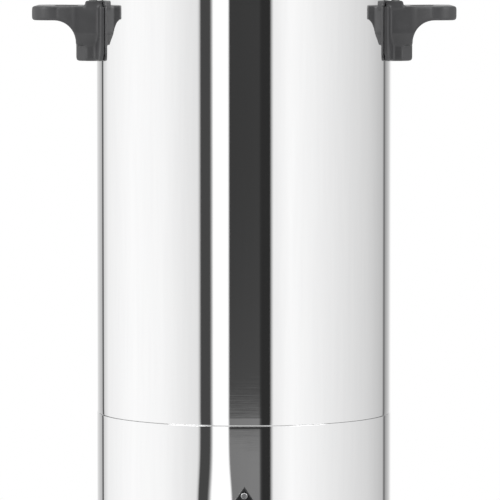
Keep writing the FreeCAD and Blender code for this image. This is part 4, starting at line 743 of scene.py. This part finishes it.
class URN_OT_stage(bpy.types.Operator):
    """Set up the floor, the light and the camera"""
    bl_idname = "urn.stage"
    bl_label = "Stage"

    def execute(self, context):
        studio = context.scene.urn_studio
        context.scene.view_settings.view_transform = "Standard"
        self.make_floor(studio)
        self.make_world(context.scene)
        self.make_lights()
        data = bpy.data.cameras.new("camera")
        data.lens = studio.lens
        data.sensor_width = 36.0
        data.clip_end = 20.0
        camera = bpy.data.objects.new("camera", data)
        context.scene.collection.objects.link(camera)
        camera.location = (studio.sideways, -studio.distance, studio.height)
        camera.rotation_euler = (math.pi / 2 - studio.pitch, 0, 0)
        context.scene.camera = camera
        return {"FINISHED"}

    def make_floor(self, studio):
        """A pale disc that fades out into the white background."""
        radius = studio.floor_radius
        rings = [(radius * step / 12, 0.0) for step in range(13)]
        mesh = lathe("floor", rings, 96, closed=False)
        floor = bpy.data.objects.new("floor", mesh)
        bpy.context.scene.collection.objects.link(floor)
        material = bpy.data.materials.new("floor")
        material.use_nodes = True
        graph = Graph(material.node_tree)
        distance = graph.node("ShaderNodeVectorMath", {"operation": "LENGTH"}, {0: graph.place()},
                              output="Value")
        fade = ((distance - radius * 0.45) / (radius * 0.5)).math("MAXIMUM", 0.0).math("MINIMUM", 1.0)
        grain = graph.noise(60.0, 3.0)
        pale = tuple(studio.floor_colour)
        cloth = graph.node("ShaderNodeBsdfPrincipled", {}, {
            "Base Color": graph.mix(grain, pale, tuple(level * 0.985 for level in pale)), "Roughness": 0.7})
        clear = graph.node("ShaderNodeBsdfTransparent", {}, {"Color": (1, 1, 1, 1)})
        eased = fade * fade * (3.0 - fade * 2.0)
        both = graph.node("ShaderNodeMixShader", {}, {0: eased, 1: cloth, 2: clear})
        graph.node("ShaderNodeOutputMaterial", {}, {"Surface": both})
        mesh.materials.append(material)
        floor.visible_glossy = False

    def make_world(self, scene):
        """White for the camera, a plain level for matt surfaces, and a studio of panels for shiny ones."""
        world = bpy.data.worlds.new("studio")
        world.use_nodes = True
        scene.world = world
        graph = Graph(world.node_tree)
        direction = graph.node("ShaderNodeTexCoord", output="Generated")
        across, along, up = graph.parts(direction)
        turn = graph.math("ARCTAN2", across, -along)
        share = turn / FULL_TURN + (0.5 - PANEL_TURN / 360)
        above = graph.node("ShaderNodeValToRGB", {"stops": studio_stops(0.040)}, {0: share})
        below = graph.node("ShaderNodeValToRGB", {"stops": studio_stops(0.185)}, {0: share})
        fall = up.math("ARCSINE") * math.degrees(-1.0)
        creep = ((fall - 1.9) / 4.2).math("MAXIMUM", 0.0)
        floor_edge = ((fall - 5.95) / 0.3).math("ADD", 0.0, clamp=True)
        lower = (creep * creep * 0.16).math("MAXIMUM", floor_edge).math("MINIMUM", 1.0)
        near_floor = ((fall - 14.0) / 10.0).math("ADD", 0.0, clamp=True)
        overhead = ((-fall - 38.0) / 14.0).math("ADD", 0.0, clamp=True)
        seen = graph.mix(lower, above, below)
        seen = graph.mix(near_floor, seen, (0.86, 0.86, 0.86))
        seen = graph.mix(overhead, seen, (0.95, 0.95, 0.95))
        path = self.path(graph)
        plain = graph.mix(path["Is Glossy Ray"].math("MAXIMUM", path["Is Transmission Ray"]),
                          (0.80, 0.80, 0.80), seen)
        colour = graph.mix(path["Is Camera Ray"], plain, (1, 1, 1))
        surface = graph.node("ShaderNodeBackground", {}, {"Color": colour, "Strength": 1.0})
        graph.node("ShaderNodeOutputWorld", {}, {"Surface": surface})

    def path(self, graph):
        made = graph.tree.nodes.new("ShaderNodeLightPath")
        return {output.name: Socket(graph, output) for output in made.outputs}

    def make_lights(self):
        """Soft boxes above the horizon, which shape the mouldings and show only in what faces up."""
        for name, place, size, power in (
                ("key", (-2.0, -1.9, 1.5), 1.6, 30.0), ("fill", (2.0, -1.5, 1.3), 1.4, 14.0),
                ("top", (0.0, 0.3, 2.6), 1.6, 12.0)):
            data = bpy.data.lights.new(name, "AREA")
            data.size = size
            data.energy = power
            light = bpy.data.objects.new(name, data)
            bpy.context.scene.collection.objects.link(light)
            light.location = place
            light.rotation_euler = (Vector((0, 0, 0.3)) - Vector(place)).to_track_quat("-Z", "Y").to_euler()


def studio_stops(gap):
    """The panels round the urn, as turns from the camera towards +X in degrees and how bright each is.

    A dark gap with the camera in it faces the urn, white panels stand on both sides of a narrow
    black flag, and the far side falls off a little.
    """
    panels = [
        (-180, 0.88), (-150, 0.45), (-149.3, 0.08), (-146.3, 0.08), (-145.6, 0.6), (-135, 0.86),
        (-99, 0.97), (-68, 0.93), (-46, 0.80), (-37, 0.76), (-36, 0.30), (-35.6, 0.058), (-27.9, 0.058),
        (-27.6, 0.38), (-25.9, 0.42),
        (-25.4, 1.02), (-13.2, 1.02), (-12.8, gap), (11.0, gap * 1.1), (11.3, 0.026), (19.3, 0.026),
        (20.0, 0.84),
        (34.5, 0.96), (89.5, 0.74), (111, 0.66), (137, 0.50), (140, 0.12), (141.5, 0.12),
        (143, 0.32), (154, 0.58), (163, 0.90), (180, 0.95)]
    return [((turn + 180) / 360, level / MIRROR) for turn, level in panels]


class URN_PT_panel(bpy.types.Panel):
    """The urn's steps and settings"""
    bl_idname = "URN_PT_panel"
    bl_label = "Coffee urn"
    bl_space_type = "VIEW_3D"
    bl_region_type = "UI"
    bl_category = "Urn"

    def draw(self, context):
        column = self.layout.column()
        for operator in OPERATORS:
            column.operator(operator.bl_idname)
        for name in UrnStudio.__annotations__:
            column.prop(context.scene.urn_studio, name)
        for name in UrnFinishes.__annotations__:
            column.prop(context.scene.urn_finishes, name)


OPERATORS = (URN_OT_finishes, URN_OT_shells, URN_OT_tank_and_lid, URN_OT_handles, URN_OT_tap, URN_OT_screws,
             URN_OT_switch_marks, URN_OT_stage)
CLASSES = (UrnStudio, UrnFinishes, *OPERATORS, URN_PT_panel)


def register():
    for made in CLASSES:
        bpy.utils.register_class(made)
    bpy.types.Scene.urn_studio = bpy.props.PointerProperty(type=UrnStudio)
    bpy.types.Scene.urn_finishes = bpy.props.PointerProperty(type=UrnFinishes)


def unregister():
    del bpy.types.Scene.urn_finishes
    del bpy.types.Scene.urn_studio
    for made in reversed(CLASSES):
        bpy.utils.unregister_class(made)


def main():
    register()
    for operator in OPERATORS:
        group, name = operator.bl_idname.split(".")
        getattr(getattr(bpy.ops, group), name)()


if __name__ == "__main__":
    main()
